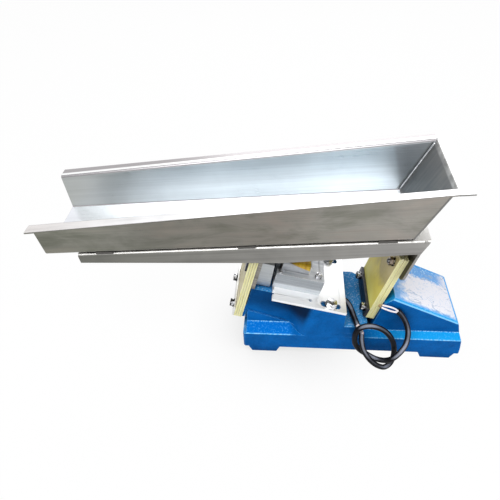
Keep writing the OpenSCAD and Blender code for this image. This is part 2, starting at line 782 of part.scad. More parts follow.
// quads between two rings of n points each, and the two ends in strips across the sheet
function ring_faces(n) = concat(
    [for (j = [0 : n - 1]) let(k = (j + 1) % n) [j, n + j, n + k, k]],
    [for (j = [0 : n / 2 - 2]) [j, j + 1, n - 2 - j, n - 1 - j]],
    [for (j = [0 : n / 2 - 2]) [2 * n - 1 - j, 2 * n - 2 - j, n + j + 1, n + j]]);

module trough() {
    a = sheet_section(trough_w, flare_out, depth_out, lip_out);
    b = sheet_section(trough_w, flare_in, depth_in, lip_in);
    color([0.72, 0.74, 0.76]) place() trough_frame_axes() polyhedron(
        concat([for (p = a) [0, p[0], p[1]]],
               [for (p = b) [trough_len + p[1] * tan(end_lean), p[0], p[1]]]),
        ring_faces(len(a)));
}

// sloping plate welded on the cut end, folded out at the top into a lip
module trough_end() {
    z = depth_in - bend_r;
    x = trough_len + z * tan(end_lean) + bend_r / cos(end_lean);
    half = trough_w / 2;
    side = half + depth_in * tan(flare_in);
    thick = sheet_t / cos(end_lean);
    top_x = trough_len + end_reach;
    cut = sheet_t * tan(end_lean);
    color([0.60, 0.62, 0.64]) place() trough_frame_axes() {
        intersection() {
            across(far) polygon(concat(
                [[trough_len, 0]],
                [for (i = [folds : -1 : 0]) let(a = 90 + i * (90 - end_lean) / folds)
                    [x + bend_r * cos(a), z + bend_r * sin(a)]],
                [[top_x + lip_end, depth_in], [top_x + lip_end, depth_in - sheet_t]],
                [for (i = [0 : folds]) let(a = 90 + i * (90 - end_lean) / folds, r = bend_r - sheet_t)
                    [x + r * cos(a), z + r * sin(a)]],
                [[trough_len + thick, 0]]));
            along(trough_len - 1, far) {
                polygon([[-half, 0], [half, 0], [side, depth_in], [-side, depth_in]]);
                translate([-side - lip_in, depth_in - sheet_t]) square([2 * (side + lip_in), sheet_t]);
            }
        }
        // corners of the rim, mitred into the side lips
        both_sides(side + lip_in / 2) across(lip_in)
            polygon([[top_x, depth_in], [top_x - cut, depth_in - sheet_t],
                     [top_x + lip_end, depth_in - sheet_t], [top_x + lip_end, depth_in]]);
    }
}

module spacer_bars() {
    first = frame_start + spacer_first;
    middle = frame_start + frame_kink - spacer_mid - spacer_len;
    last = tip_x - spacer_last - spacer_len;
    color([0.55, 0.54, 0.52]) place() trough_frame_axes() for (x = [first, middle, last])
        translate([x, -frame_w / 2, -frame_gap]) cube([spacer_len, frame_w, frame_gap]);
}

// ----------------------------------------------------------------- frame

module frame_section() {
    r = bend_r;
    h = frame_d1 + 1;
    difference() {
        union() {
            translate([-frame_w / 2, -h]) square([frame_w, h - r]);
            translate([r - frame_w / 2, -r - skip]) square([frame_w - 2 * r, r + skip]);
            for (s = [-1, 1]) translate([s * (frame_w / 2 - r), -r]) circle(r = r);
        }
        translate([frame_t - frame_w / 2, -h - 1]) square([frame_w - 2 * frame_t, h + 1 - frame_t]);
    }
}

module trough_frame() {
    tip = tip_x;
    lean = tan(frame_lean);
    x0 = frame_start;
    inner = tip - frame_t / cos(frame_lean);
    color([0.62, 0.60, 0.57]) place() trough_frame_axes() translate([0, 0, -frame_gap]) {
        intersection() {
            along(x0, tip + frame_overrun + skip) frame_section();
            across(far) polygon([[x0, 0], [tip + frame_overrun, 0], [tip - frame_d2 * lean - skip, -frame_d2],
                                 [inner - frame_d2 * lean - frame_flat, -frame_d2],
                                 [x0 + frame_kink, -frame_d1], [x0, -frame_d0]]);
        }
        difference() {
            translate([tip, 0, 0]) rotate([0, frame_lean, 0]) difference() {
                along(-frame_t, 0) frame_end_outline();
                translate([0, 0, -tip_rise]) both_sides(rear_pitch / 2)
                    bore_x(bolt_d + hole_extra, -frame_t - skip, skip);
            }
            translate([0, -far / 2, -skip]) cube([far, far, far]);
        }
    }
}

module frame_end_outline() {
    w = frame_w / 2;
    r = frame_end_r;
    low = -tip_rise - tip_drop;
    translate([-w, low + r]) square([2 * w, -low]);
    translate([r - w, low]) square([2 * (w - r), r + skip]);
    for (s = [-1, 1]) translate([s * (w - r), low + r]) circle(r = r);
}

// ------------------------------------------------------------------ cord

// Route of the cord from the lead's way out, over the saddle, in a loose
// loop down to the floor and up to the rear springs
cord_points = [
    [117, -16, 80.8], [130, -16, 77.5], [141, -16, 74.2], [147, -18.5, 69.5], [151, -26, 66],
    [153.8, -38.5, 65.2], [156.5, -51, 65.5], [159.5, -57.8, 63], [162.5, -62.5, 57], [163, -68, 50.5],
    [165.5, -74, 41], [172, -78.5, 30], [181, -80, 18.5], [190.5, -79, 9.5], [199, -77, 5.5],
    [206.5, -73, 10], [209.5, -69, 24], [207, -66, 42.5], [199.5, -64, 58.5], [189, -63, 69.5],
    [176, -64, 77], [164, -65.5, 78], [156, -66, 71.5], [153.5, -65.5, 56.5], [156, -65, 39.5],
    [163.5, -65, 26.5], [174, -66.5, 19], [186, -71.8, 16.5], [197, -77.5, 21.5], [206, -80, 30.5],
    [214.5, -76, 38.5], [221.5, -69, 46.5], [224, -61, 58.5], [221.5, -54.5, 70], [215, -50.5, 82],
    [207, -49, 92]];

// The two bare wires, from inside the jacket's end to their tips by the springs
wire_points = [
    [[208, -49.2, 91.5], [203, -48.6, 95.5], [196, -49.5, 100], [188, -49.5, 102.5], [181, -48, 102.5]],
    [[208, -49.2, 90], [202, -51, 92.5], [195, -52, 96], [187, -51, 99], [180, -48.5, 101]]];

function unit(v) = v / norm(v);
function turn(v, k, a) = v * cos(a) + cross(k, v) * sin(a) + k * (k * v) * (1 - cos(a));
function catmull(p0, p1, p2, p3, t) = 0.5 * (2 * p1 + (p2 - p0) * t + (2 * p0 - 5 * p1 + 4 * p2 - p3) * t * t
    + (3 * p1 - p0 - 3 * p2 + p3) * t * t * t);
function smooth(p, steps) = let(n = len(p)) concat([for (i = [0 : n - 2], s = [0 : steps - 1])
    catmull(p[max(i - 1, 0)], p[i], p[i + 1], p[min(i + 2, n - 1)], s / steps)], [p[n - 1]]);
function tangent(p, i) = unit(p[min(i + 1, len(p) - 1)] - p[max(i - 1, 0)]);
function side_step(p, i, prev) = unit(prev - tangent(p, i) * (prev * tangent(p, i)));
function sides(p, i = 0, prev = [0.2, 0.3, 0.9], out = []) = i == len(p) ? out
    : let(s = side_step(p, i, prev)) sides(p, i + 1, s, concat(out, [s]));

// closed tube of diameter d through the points, with n sides
module tube(points, d, n, steps) {
    p = smooth(points, steps);
    s = sides(p);
    m = len(p);
    rings = [for (i = [0 : m - 1], j = [0 : n - 1])
        p[i] + turn(s[i], tangent(p, i), j * 360 / n) * d / 2];
    walls = [for (i = [0 : m - 2], j = [0 : n - 1]) let(k = (j + 1) % n)
        [i * n + j, (i + 1) * n + j, (i + 1) * n + k, i * n + k]];
    caps = [[for (j = [0 : n - 1]) j], [for (j = [0 : n - 1]) m * n - 1 - j]];
    polyhedron(rings, concat(walls, caps));
}

module power_cord() { color([0.05, 0.05, 0.06]) place() tube(cord_points, cord_d, 10, 2); }

module cord_wires() {
    color([0.85, 0.75, 0.75]) place() for (w = wire_points) tube(w, wire_d, 8, 2);
}

// ----------------------------------------------------------------- parts

base_casting();
magnet_plate();
plate_bolts();
plate_washers();
magnet_core();
coil_former();
coil();
core_bolts();
core_washers();
core_nuts();
core_screws();
front_springs();
rear_springs();
front_lower_bar();
front_lower_bolts();
front_lower_washers();
rear_lower_bar();
rear_lower_bolts();
rear_lower_washers();
front_upper_bar();
front_upper_bolts();
front_upper_washers();
rear_upper_bolts();
rear_upper_washers();
rear_upper_nuts();
armature_bracket();
armature();
armature_screws();
trough();
trough_end();
spacer_bars();
trough_frame();
power_cord();
cord_wires();
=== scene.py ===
"""Looks of a linear vibratory feeder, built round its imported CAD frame. Metres, +Z up."""
import json
import math
import random

import bmesh
import bpy
from mathutils import Matrix, Vector


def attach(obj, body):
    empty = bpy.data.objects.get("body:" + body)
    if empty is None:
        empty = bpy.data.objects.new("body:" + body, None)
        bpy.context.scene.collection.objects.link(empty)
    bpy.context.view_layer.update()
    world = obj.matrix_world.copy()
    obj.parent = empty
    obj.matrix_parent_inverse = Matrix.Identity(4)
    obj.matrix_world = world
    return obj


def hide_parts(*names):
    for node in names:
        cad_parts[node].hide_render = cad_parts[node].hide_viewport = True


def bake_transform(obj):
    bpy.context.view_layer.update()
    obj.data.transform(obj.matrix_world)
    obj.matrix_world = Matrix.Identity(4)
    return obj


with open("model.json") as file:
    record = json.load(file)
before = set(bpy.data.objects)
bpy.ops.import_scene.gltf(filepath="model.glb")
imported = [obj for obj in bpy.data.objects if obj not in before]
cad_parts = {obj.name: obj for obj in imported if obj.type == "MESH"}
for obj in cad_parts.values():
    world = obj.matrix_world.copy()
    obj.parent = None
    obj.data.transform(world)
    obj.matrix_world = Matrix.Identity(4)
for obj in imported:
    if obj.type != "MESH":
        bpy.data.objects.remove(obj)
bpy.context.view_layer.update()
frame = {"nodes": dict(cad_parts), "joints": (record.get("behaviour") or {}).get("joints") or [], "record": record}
NODES = frame["nodes"]
MM = 0.001
scene = bpy.context.scene
random.seed(7)

# ------------------------------------------------------------------ camera

CAMERA_AT = Vector((0.03444, -0.4730, 0.5830))
CAMERA_LENS = 34.49
YAW, PITCH, ROLL = (math.radians(a) for a in (-6.32, 42.28, -2.98))


def make_camera():
    ahead = Vector((math.sin(YAW) * math.cos(PITCH), math.cos(YAW) * math.cos(PITCH), -math.sin(PITCH)))
    right = Vector((math.cos(YAW), -math.sin(YAW), 0))
    down = ahead.cross(right)
    right, down = (right * math.cos(ROLL) - down * math.sin(ROLL),
                   right * math.sin(ROLL) + down * math.cos(ROLL))
    data = bpy.data.cameras.new("camera")
    data.lens, data.sensor_width = CAMERA_LENS, 36
    data.clip_start, data.clip_end = 0.01, 50
    camera = bpy.data.objects.new("camera", data)
    scene.collection.objects.link(camera)
    turn = Matrix((right, -down, -ahead)).transposed()
    camera.matrix_world = Matrix.Translation(CAMERA_AT) @ turn.to_4x4()
    scene.camera = camera


make_camera()

# ---------------------------------------------------------------- the axes

# The drive slopes with the joint, and the trough slopes less, the other way
LENGTHWISE, ACROSS = Vector((1, 0, 0)), Vector((0, 1, 0))
DRIVE_X = Vector(frame["joints"][0]["axis"]).normalized()
DRIVE_Z = DRIVE_X.cross(ACROSS)
DRIVE = (DRIVE_X, ACROSS, DRIVE_Z)
DRIVE_TURN = math.atan2(DRIVE_X.z, DRIVE_X.x)
TROUGH_TURN = math.radians(4.6)
TROUGH_X = Vector((math.cos(TROUGH_TURN), 0, math.sin(TROUGH_TURN)))
TROUGH_Z = TROUGH_X.cross(ACROSS)


def in_axes(point, axes):
    return Vector([point.dot(a) for a in axes])


def from_axes(values, axes):
    return sum((a * v for a, v in zip(axes, values)), Vector())


def extent(points, axes):
    """Lowest and highest value of the points along each of the three axes."""
    rows = [in_axes(p, axes) for p in points]
    return (Vector([min(r[i] for r in rows) for i in range(3)]),
            Vector([max(r[i] for r in rows) for i in range(3)]))


def solids(node):
    """The points of each separate solid of a CAD node, from the near side to the far side."""
    bm = bmesh.new()
    bm.from_mesh(NODES[node].data)
    bmesh.ops.remove_doubles(bm, verts=bm.verts, dist=1e-5)
    left, found = set(bm.verts), []
    while left:
        group, stack = [], [left.pop()]
        while stack:
            v = stack.pop()
            group.append(v.co.copy())
            for e in v.link_edges:
                other = e.other_vert(v)
                if other in left:
                    left.discard(other)
                    stack.append(other)
        found.append(group)
    bm.free()
    return sorted(found, key=lambda g: (sum(p.y for p in g) / len(g)))


# ----------------------------------------- places where a finish changes

# In metres. A pair is where the change starts and where it is complete.

# Along the trough and up it
TROUGH_ENDS, FRAME_ENDS = (-0.26, 0.22), (-0.22, 0.22)
WALL_HEIGHT, LIPS, END_FOLD = (0.200, 0.272), (0.225, 0.230), (0.2655, 0.2675)
# Across the lips: the far half, its rim, and the bend of the near lip
FAR_LIP, FAR_RIM, NEAR_BEND = (0.0, 0.01), (0.0572, 0.0585), -0.0512
# Square to the edge of the darker end, and square to the weld, with its distance
OFF_DARK_END, DARK_END = TROUGH_X + TROUGH_Z * 0.223, (0.2362, 0.2428)
OFF_WELD, WELD_AT = (0.9122, 0, -0.4097), 0.07005
# Casting: spring head and wedge along its length, and their upright flanks
HEAD_END, WEDGE_START = (0.047, 0.034), (0.10, 0.20)
HEAD_FLANK, WEDGE_FLANK = (0.0395, 0.0402), (0.0435, 0.0445)
# Casting: heights of the lines on its slab, its wedge and its spring head
SLAB_LINE, WEDGE_LINE, HEAD_LINE = 0.0390, 0.0475, 0.0520
# Square to the crease on the spring head, with its distance and its end along X
OFF_CREASE, CREASE_AT, CREASE_END = (0.3528, 0, 0.9357), 0.0628, (0.031, 0.028)
# Casting: what the magnet's plate shades, along the drive's axes
PLATE_SHADE_Z, PLATE_SHADE_X, PLATE_SHADE_FADE = (0.060, 0.096), (0.045, 0.036), (-0.04, 0.035)
# Wedge: its top, the middle where its painted reflection is strongest, its far band and that band's end, and its
# rims
WEDGE_TOP, GLARE_X, GLARE_SIDE = (0.170, 0.172), (0.174, 0.205), (0.043, 0.034)
FAR_BAND, FAR_BAND_END = (0.026, 0.032), (0.262, 0.244)
RIM_X, RIM_SIDE, NEAR_RIM_END = (0.165, 0.170), (0.0432, 0.0440), (-0.035, -0.030)
RIM_Z, OUTER_RIM_Z = (0.050, 0.052), (0.052, 0.054)
# Plate: the strip in front of the core
STRIP_SIDE, STRIP_X = (0.0270, 0.0290), (0.050, 0.040)
# Core, coil and former, along the drive's axes
CORE_HEIGHT, COIL_FRONT, FORMER_REAR = (0.1134, 0.1390), (-0.001, 0.010), (0.0255, 0.0262)
# Square to the slanting edge of the coil's tape, and where the tape starts
OFF_TAPE, TAPE_START = DRIVE_Z + DRIVE_X * 0.2, (0.1497, 0.1512)
# Springs: their height, and the gap between the packs
SPRING_HEIGHT, REAR_PACK = (0.10, 0.215), (0.05, 0.06)
# Bars and bolts: the bright bar's end and top, and the spring clamps at both ends
BRIGHT_BAR_X, BRIGHT_BAR_Z = (0.06, 0.05), (0.11, 0.10)
FRONT_CLAMPS, REAR_CLAMPS = (-0.020, -0.024), (0.118, 0.122)
# Cord: two worn, pale places where it crosses its own loop, and their radius
SCARS, SCAR_RADIUS = ((0.1295, -0.0565, 0.0670), (0.1358, -0.0618, 0.0615)), (0.0034, 0.0022)

# How far up a face points, from -1 to 1, where it turns from one kind to the next
SLOPING, LEVEL, UNDERSIDE = (0.15, 0.35), (0.93, 0.985), (-0.45, -0.8)

# -------------------------------------------------------------- materials


def rgb(*c):
    return (*c, 1.0)


class Look:
    """A material with one Principled shader, and short ways to add nodes."""

    def __init__(self, name, colour, rough, metal, **sockets):
        self.m = bpy.data.materials.new(name)
        self.m.use_nodes = True
        self.tree = self.m.node_tree
        self.shader = self.tree.nodes["Principled BSDF"]
        self.shader.inputs["Base Color"].default_value = rgb(*colour)
        self.shader.inputs["Roughness"].default_value = rough
        self.shader.inputs["Metallic"].default_value = metal
        for key, value in sockets.items():
            self.shader.inputs[key.replace("_", " ")].default_value = value

    def node(self, kind, inputs=None, **options):
        n = self.tree.nodes.new(kind)
        for key, value in options.items():
            setattr(n, key, value)
        for key, value in (inputs or {}).items():
            self.put(n.inputs[key], value)
        return n

    def put(self, socket, value):
        if isinstance(value, bpy.types.NodeSocket):
            self.tree.links.new(value, socket)
        else:
            socket.default_value = value

    # Places on the part, in metres

    def spot(self):
        """The place as one vector."""
        return self.node("ShaderNodeTexCoord").outputs["Object"]

    def split(self, vector):
        return self.node("ShaderNodeSeparateXYZ", {0: vector}).outputs

    def place(self):
        """The place as its X, Y and Z."""
        return self.split(self.spot())

    def coords(self, scale=(1, 1, 1), turn=(0, 0, 0)):
        """The place, turned, then scaled."""
        turned = self.node("ShaderNodeMapping", {"Vector": self.spot(), "Rotation": turn})
        return self.node("ShaderNodeMapping", {"Vector": turned.outputs[0], "Scale": scale}).outputs[0]

    def dot(self, a, b):
        return self.node("ShaderNodeVectorMath", {0: a, 1: b}, operation="DOT_PRODUCT").outputs["Value"]

    def reach(self, axis):
        """The distance along an axis."""
        return self.dot(self.spot(), tuple(axis))

    def along(self, axis, low, high):
        """0 at the low distance along an axis, 1 at the high one, even in between."""
        return self.node("ShaderNodeMapRange", {"Value": self.reach(axis), "From Min": low,
                                                "From Max": high}).outputs["Result"]

    def past(self, axis, low, high):
        """0 at the low distance along an axis, 1 at the high one, soft in between."""
        return self.step(self.along(axis, low, high), 0.0, 1.0)

    def side(self):
        """The distance from the middle plane."""
        return self.calc("ABSOLUTE", self.place()["Y"])

    # Directions and surroundings of the surface

    def flat(self):
        """The face's own direction, as three values."""
        return self.split(self.node("ShaderNodeNewGeometry").outputs["True Normal"])

    def smooth(self):
        """The smoothed direction, as one vector."""
        return self.node("ShaderNodeNewGeometry").outputs["Normal"]

    def up(self):
        """How far the face points up, from -1 to 1."""
        return self.flat()["Z"]

    def outward(self):
        """1 on walls that look away from the middle plane, 0 on those that look at it."""
        side = self.calc("MULTIPLY", self.place()["Y"], self.flat()["Y"])
        return self.calc("GREATER_THAN", side, 0.004)

    def edges(self, radius):
        """1 near a sharp edge, 0 on a flat."""
        bevel = self.node("ShaderNodeBevel", {"Radius": radius}, samples=6).outputs[0]
        return self.ramp(self.dot(bevel, self.smooth()), (0.86, 1.0), (0.995, 0.0))

    def open_air(self, reach):
        """1 in the open, towards 0 in corners and under other pieces."""
        return self.node("ShaderNodeAmbientOcclusion", {"Distance": reach}, samples=6).outputs["AO"]

    # Values

    def noise(self, scale, detail=3.0, rough=0.55, at=None, distort=0.0):
        return self.node("ShaderNodeTexNoise", {
            "Vector": at or self.coords(), "Scale": scale, "Detail": detail,
            "Roughness": rough, "Distortion": distort}).outputs["Fac"]

    def calc(self, how, a, b=0.0, clamp=False):
        n = self.node("ShaderNodeMath", operation=how, use_clamp=clamp)
        self.put(n.inputs[0], a)
        self.put(n.inputs[1], b)
        return n.outputs[0]

    def times(self, *values):
        out = values[0]
        for value in values[1:]:
            out = self.calc("MULTIPLY", out, value)
        return out

    def total(self, *pairs):
        """The sum of values, each times its weight."""
        out, *others = [self.times(value, weight) for value, weight in pairs]
        for other in others:
            out = self.calc("ADD", out, other)
        return out

    def step(self, value, low, high):
        """0 up to low and 1 from high on, soft in between. High may be the smaller number."""
        return self.node("ShaderNodeMapRange", {"Value": value, "From Min": low, "From Max": high},
                         interpolation_type="SMOOTHSTEP").outputs["Result"]

    def line(self, value, at, half):
        """1 where a value is at a number, 0 where it is off by half the width or more."""
        return self.step(self.calc("ABSOLUTE", self.calc("SUBTRACT", value, at)), half, half * 0.4)

    # Colours

    def ramp(self, value, *stops):
        """Goes from colour to colour, or grey to grey, as a value passes the stops."""
        n = self.node("ShaderNodeValToRGB", {"Fac": value})
        points = n.color_ramp.elements
        while len(points) < len(stops):
            points.new(0.5)
        for element, (at, colour) in zip(points, stops):
            element.position = at
            element.color = rgb(*colour) if hasattr(colour, "__len__") else rgb(colour, colour, colour)
        return n.outputs["Color"]

    def mix(self, share, a, b, how="MIX"):
        n = self.node("ShaderNodeMix", data_type="RGBA", blend_type=how)
        self.put(n.inputs["Factor"], share)
        for socket, value in ((n.inputs["A"], a), (n.inputs["B"], b)):
            self.put(socket, rgb(*value) if isinstance(value, tuple) and len(value) == 3 else value)
        return n.outputs["Result"]

    def tint(self, a, b):
        """One colour times another."""
        return self.mix(1.0, a, b, "MULTIPLY")

    # The shader's sockets

    def colour(self, value):
        self.put(self.shader.inputs["Base Color"], value)

    def coloured(self):
        """What the base colour is linked to so far."""
        return self.shader.inputs["Base Color"].links[0].from_socket

    def rough(self, value):
        self.put(self.shader.inputs["Roughness"], value)

    def bump(self, height, depth, strength=1.0):
        """Adds relief of that depth in metres on top of what is there."""
        socket = self.shader.inputs["Normal"]
        n = self.node("ShaderNodeBump", {"Height": height, "Distance": depth, "Strength": strength})
        if socket.links:
            self.put(n.inputs["Normal"], socket.links[0].from_socket)
        self.put(socket, n.outputs[0])


# Sheet steel


def steel_grain(look, rough, turn, grain=700.0, blotch=9.0):
    """Relief and roughness of brushed sheet. Gives a grain from 0 to 1 for its colour."""
    lines = look.noise(1.0, 5, 0.65, look.coords((5, grain, grain), (0, turn, 0)))
    broad = look.noise(1.0, 3, 0.6, look.coords((2.2, 60, 60), (0, turn, 0)))
    patches = look.noise(blotch, 4, 0.6, distort=0.6)
    look.rough(look.ramp(look.total((patches, 0.6), (lines, 0.4)), (0.3, rough[0]), (0.7, rough[1])))
    look.bump(lines, 0.00004, 0.7)
    look.bump(broad, 0.0003, 0.25)
    return look.total((lines, 0.35), (broad, 0.40), (patches, 0.35))


def outer_tone_and_shade(look, length):
    """Outer faces, painted dark as the shade they mirror: lighter towards the closed end, and darker over the
    middle.
    """
    mill_and_shade = look.mix(length, (0.205, 0.205, 0.175), (0.335, 0.320, 0.290))
    dull = look.ramp(length, (0.10, (1.06, 1.06, 1.04)), (0.24, (1.0, 1.0, 1.0)), (0.34, (0.82, 0.81, 0.80)),
                     (0.62, (0.85, 0.82, 0.81)), (0.74, (1.0, 1.0, 1.0)))
    return look.tint(mill_and_shade, dull)


def trough_wall(look, length, share):
    """Inner faces of the walls, with the marks of the weld at the closed end, and a painted highlight along their
    bend into the floor.
    """
    height = look.along(TROUGH_Z, *WALL_HEIGHT)
    wall = look.mix(look.step(length, 0.02, 0.30), (0.47, 0.49, 0.48), (0.68, 0.735, 0.77))
    wall = look.tint(wall, look.ramp(height, (0.35, 1.0), (0.95, 0.94)))
    wall = look.tint(wall, look.ramp(length, (0.66, 1.0), (0.78, 1.13)))
    # the closed end is darker, from a sharp slanting edge
    wall = look.mix(look.past(OFF_DARK_END, *DARK_END), wall, look.tint(wall, (0.80, 0.78, 0.78)))
    off_weld = look.calc("SUBTRACT", look.reach(OFF_WELD), WELD_AT)
    wall = look.mix(look.line(off_weld, -0.0040, 0.0009), wall, (0.42, 0.43, 0.44))
    wall = look.mix(look.line(off_weld, -0.0024, 0.0009), wall, (0.12, 0.12, 0.125))
    # painted highlight along the bend into the floor, on the part towards the open end
    bend_highlight = look.times(look.step(height, 0.060, 0.045), look.step(length, 0.85, 0.35))
    wall = look.mix(bend_highlight, wall, (0.97, 0.97, 0.97))
    return look.tint(wall, look.ramp(share, (0.42, 0.86), (0.66, 1.08)))


def trough_top(look, length, share):
    """Level faces, painted bright as they mirror the light above: the floor, and the lips with their bends and
    rims.
    """
    off_left_end = look.step(length, 0.0, 0.35)
    floor = look.mix(off_left_end, (0.86, 0.88, 0.93), (0.97, 0.97, 0.98))
    floor = look.tint(floor, look.ramp(share, (0.40, 0.92), (0.60, 1.0)))
    lip = look.mix(off_left_end, (0.78, 0.75, 0.74), (0.93, 0.93, 0.94))
    lip = look.tint(lip, look.ramp(share, (0.42, 0.80), (0.60, 1.0)))
    far = look.place()["Y"]
    lip = look.mix(look.step(far, *FAR_LIP), lip, (0.97, 0.98, 0.98))
    lip = look.mix(look.step(far, *FAR_RIM), lip, (0.40, 0.38, 0.39))
    lip = look.mix(look.line(far, NEAR_BEND, 0.0010), lip, (0.50, 0.49, 0.50))
    return look.mix(look.past(TROUGH_Z, *LIPS), floor, lip)


def trough_sheet():
    """Bright inside and on the lips, as-rolled finish and stained outside. Each kind of face is painted lighter or
    darker, as the light or shade it mirrors.
    """
    look = Look("trough_steel", (0.8, 0.8, 0.8), 0.35, 1.0)
    share = steel_grain(look, (0.24, 0.40), TROUGH_TURN)
    length = look.along(TROUGH_X, *TROUGH_ENDS)
    cloud = look.noise(1.0, 5, 0.62, look.coords((11, 30, 30), (0, TROUGH_TURN, 0)), 1.0)
    clouded = look.ramp(cloud, (0.36, (0.74, 0.76, 0.72)), (0.52, (1.0, 1.0, 1.0)),
                        (0.66, (1.10, 1.05, 1.04)))
    stain = look.tint(look.ramp(share, (0.42, 0.80), (0.66, 1.15)), clouded)
    outside = look.tint(outer_tone_and_shade(look, length), stain)
    side = look.mix(look.outward(), trough_wall(look, length, share), outside)
    facing = look.up()
    # painted light and shade by the way a face points: level faces bright, sloping bends dark, walls by their side
    paint = look.mix(look.step(facing, *LEVEL), (0.30, 0.29, 0.30), trough_top(look, length, share))
    paint = look.mix(look.step(facing, *SLOPING), side, paint)
    # painted shade on the undersides
    under = look.tint((0.20, 0.195, 0.18), stain)
    look.colour(look.mix(look.step(facing, *UNDERSIDE), paint, under))
    return look


def end_sheet():
    """The dark inner face of the end plate, with streaks down it, a painted highlight along the bend at its top,
    and a rim painted bright as it faces up.
    """
    look = Look("end_steel", (0.2, 0.2, 0.2), 0.35, 1.0)
    share = steel_grain(look, (0.28, 0.44), TROUGH_TURN)
    streaks = look.noise(1.0, 4, 0.6, look.coords((18, 240, 18)))
    face = look.ramp(look.total((share, 0.4), (streaks, 0.6)),
                     (0.36, (0.165, 0.168, 0.178)), (0.62, (0.235, 0.235, 0.225)))
    # painted highlight along the bend at the top of the inner face
    painted_highlight = look.ramp(look.noise(90, 4, 0.6), (0.35, (0.30, 0.30, 0.29)), (0.65, (0.55, 0.55, 0.54)))
    inner = look.mix(look.times(look.past(TROUGH_Z, *END_FOLD), 0.85), face, painted_highlight)
    outer = look.ramp(share, (0.42, (0.19, 0.185, 0.17)), (0.66, (0.30, 0.29, 0.27)))
    side = look.mix(look.step(look.flat()["X"], -0.1, 0.1), inner, outer)
    # painted light: faces that point up are bright
    look.colour(look.mix(look.step(look.up(), 0.6, 0.9), side, (0.93, 0.94, 0.95)))
    return look


def frame_sheet():
    """As-rolled finish, stained and painted dark as the shade it mirrors, with painted light on top where it is
    bent over, and painted shade on faces that look left.
    """
    look = Look("frame_steel", (0.3, 0.3, 0.3), 0.4, 1.0)
    share = steel_grain(look, (0.34, 0.5), TROUGH_TURN, 500.0, 14.0)
    mill_and_shade = look.mix(look.along(TROUGH_X, *FRAME_ENDS), (0.175, 0.175, 0.155), (0.37, 0.36, 0.345))
    side = look.tint(mill_and_shade, look.ramp(share, (0.42, 0.74), (0.66, 1.15)))
    # painted shade on faces that look left, such as the inner face of the end
    side = look.mix(look.step(look.flat()["X"], -0.3, -0.6), side, (0.09, 0.085, 0.07))
    # painted light on faces that point up
    look.colour(look.mix(look.step(look.up(), 0.5, 0.9), side, (0.90, 0.89, 0.87)))
    return look


def plate_zinc():
    """The magnet's plate. Its strip in front of the core is dull and white, and hardly mirrors the core."""
    look = Look("plate_metal", (1.0, 1.0, 1.0), 0.35, 1.0)
    share = steel_grain(look, (0.3, 0.5), -0.25, blotch=30)
    look.colour(look.ramp(share, (0.40, (0.94, 0.96, 0.98)), (0.72, (1.0, 1.0, 1.0))))
    strip = look.times(look.step(look.side(), *STRIP_SIDE), look.past(DRIVE_X, *STRIP_X))
    look.put(look.shader.inputs["Metallic"], look.calc("SUBTRACT", 1.0, look.times(strip, 0.7)))
    return look


# Painted casting


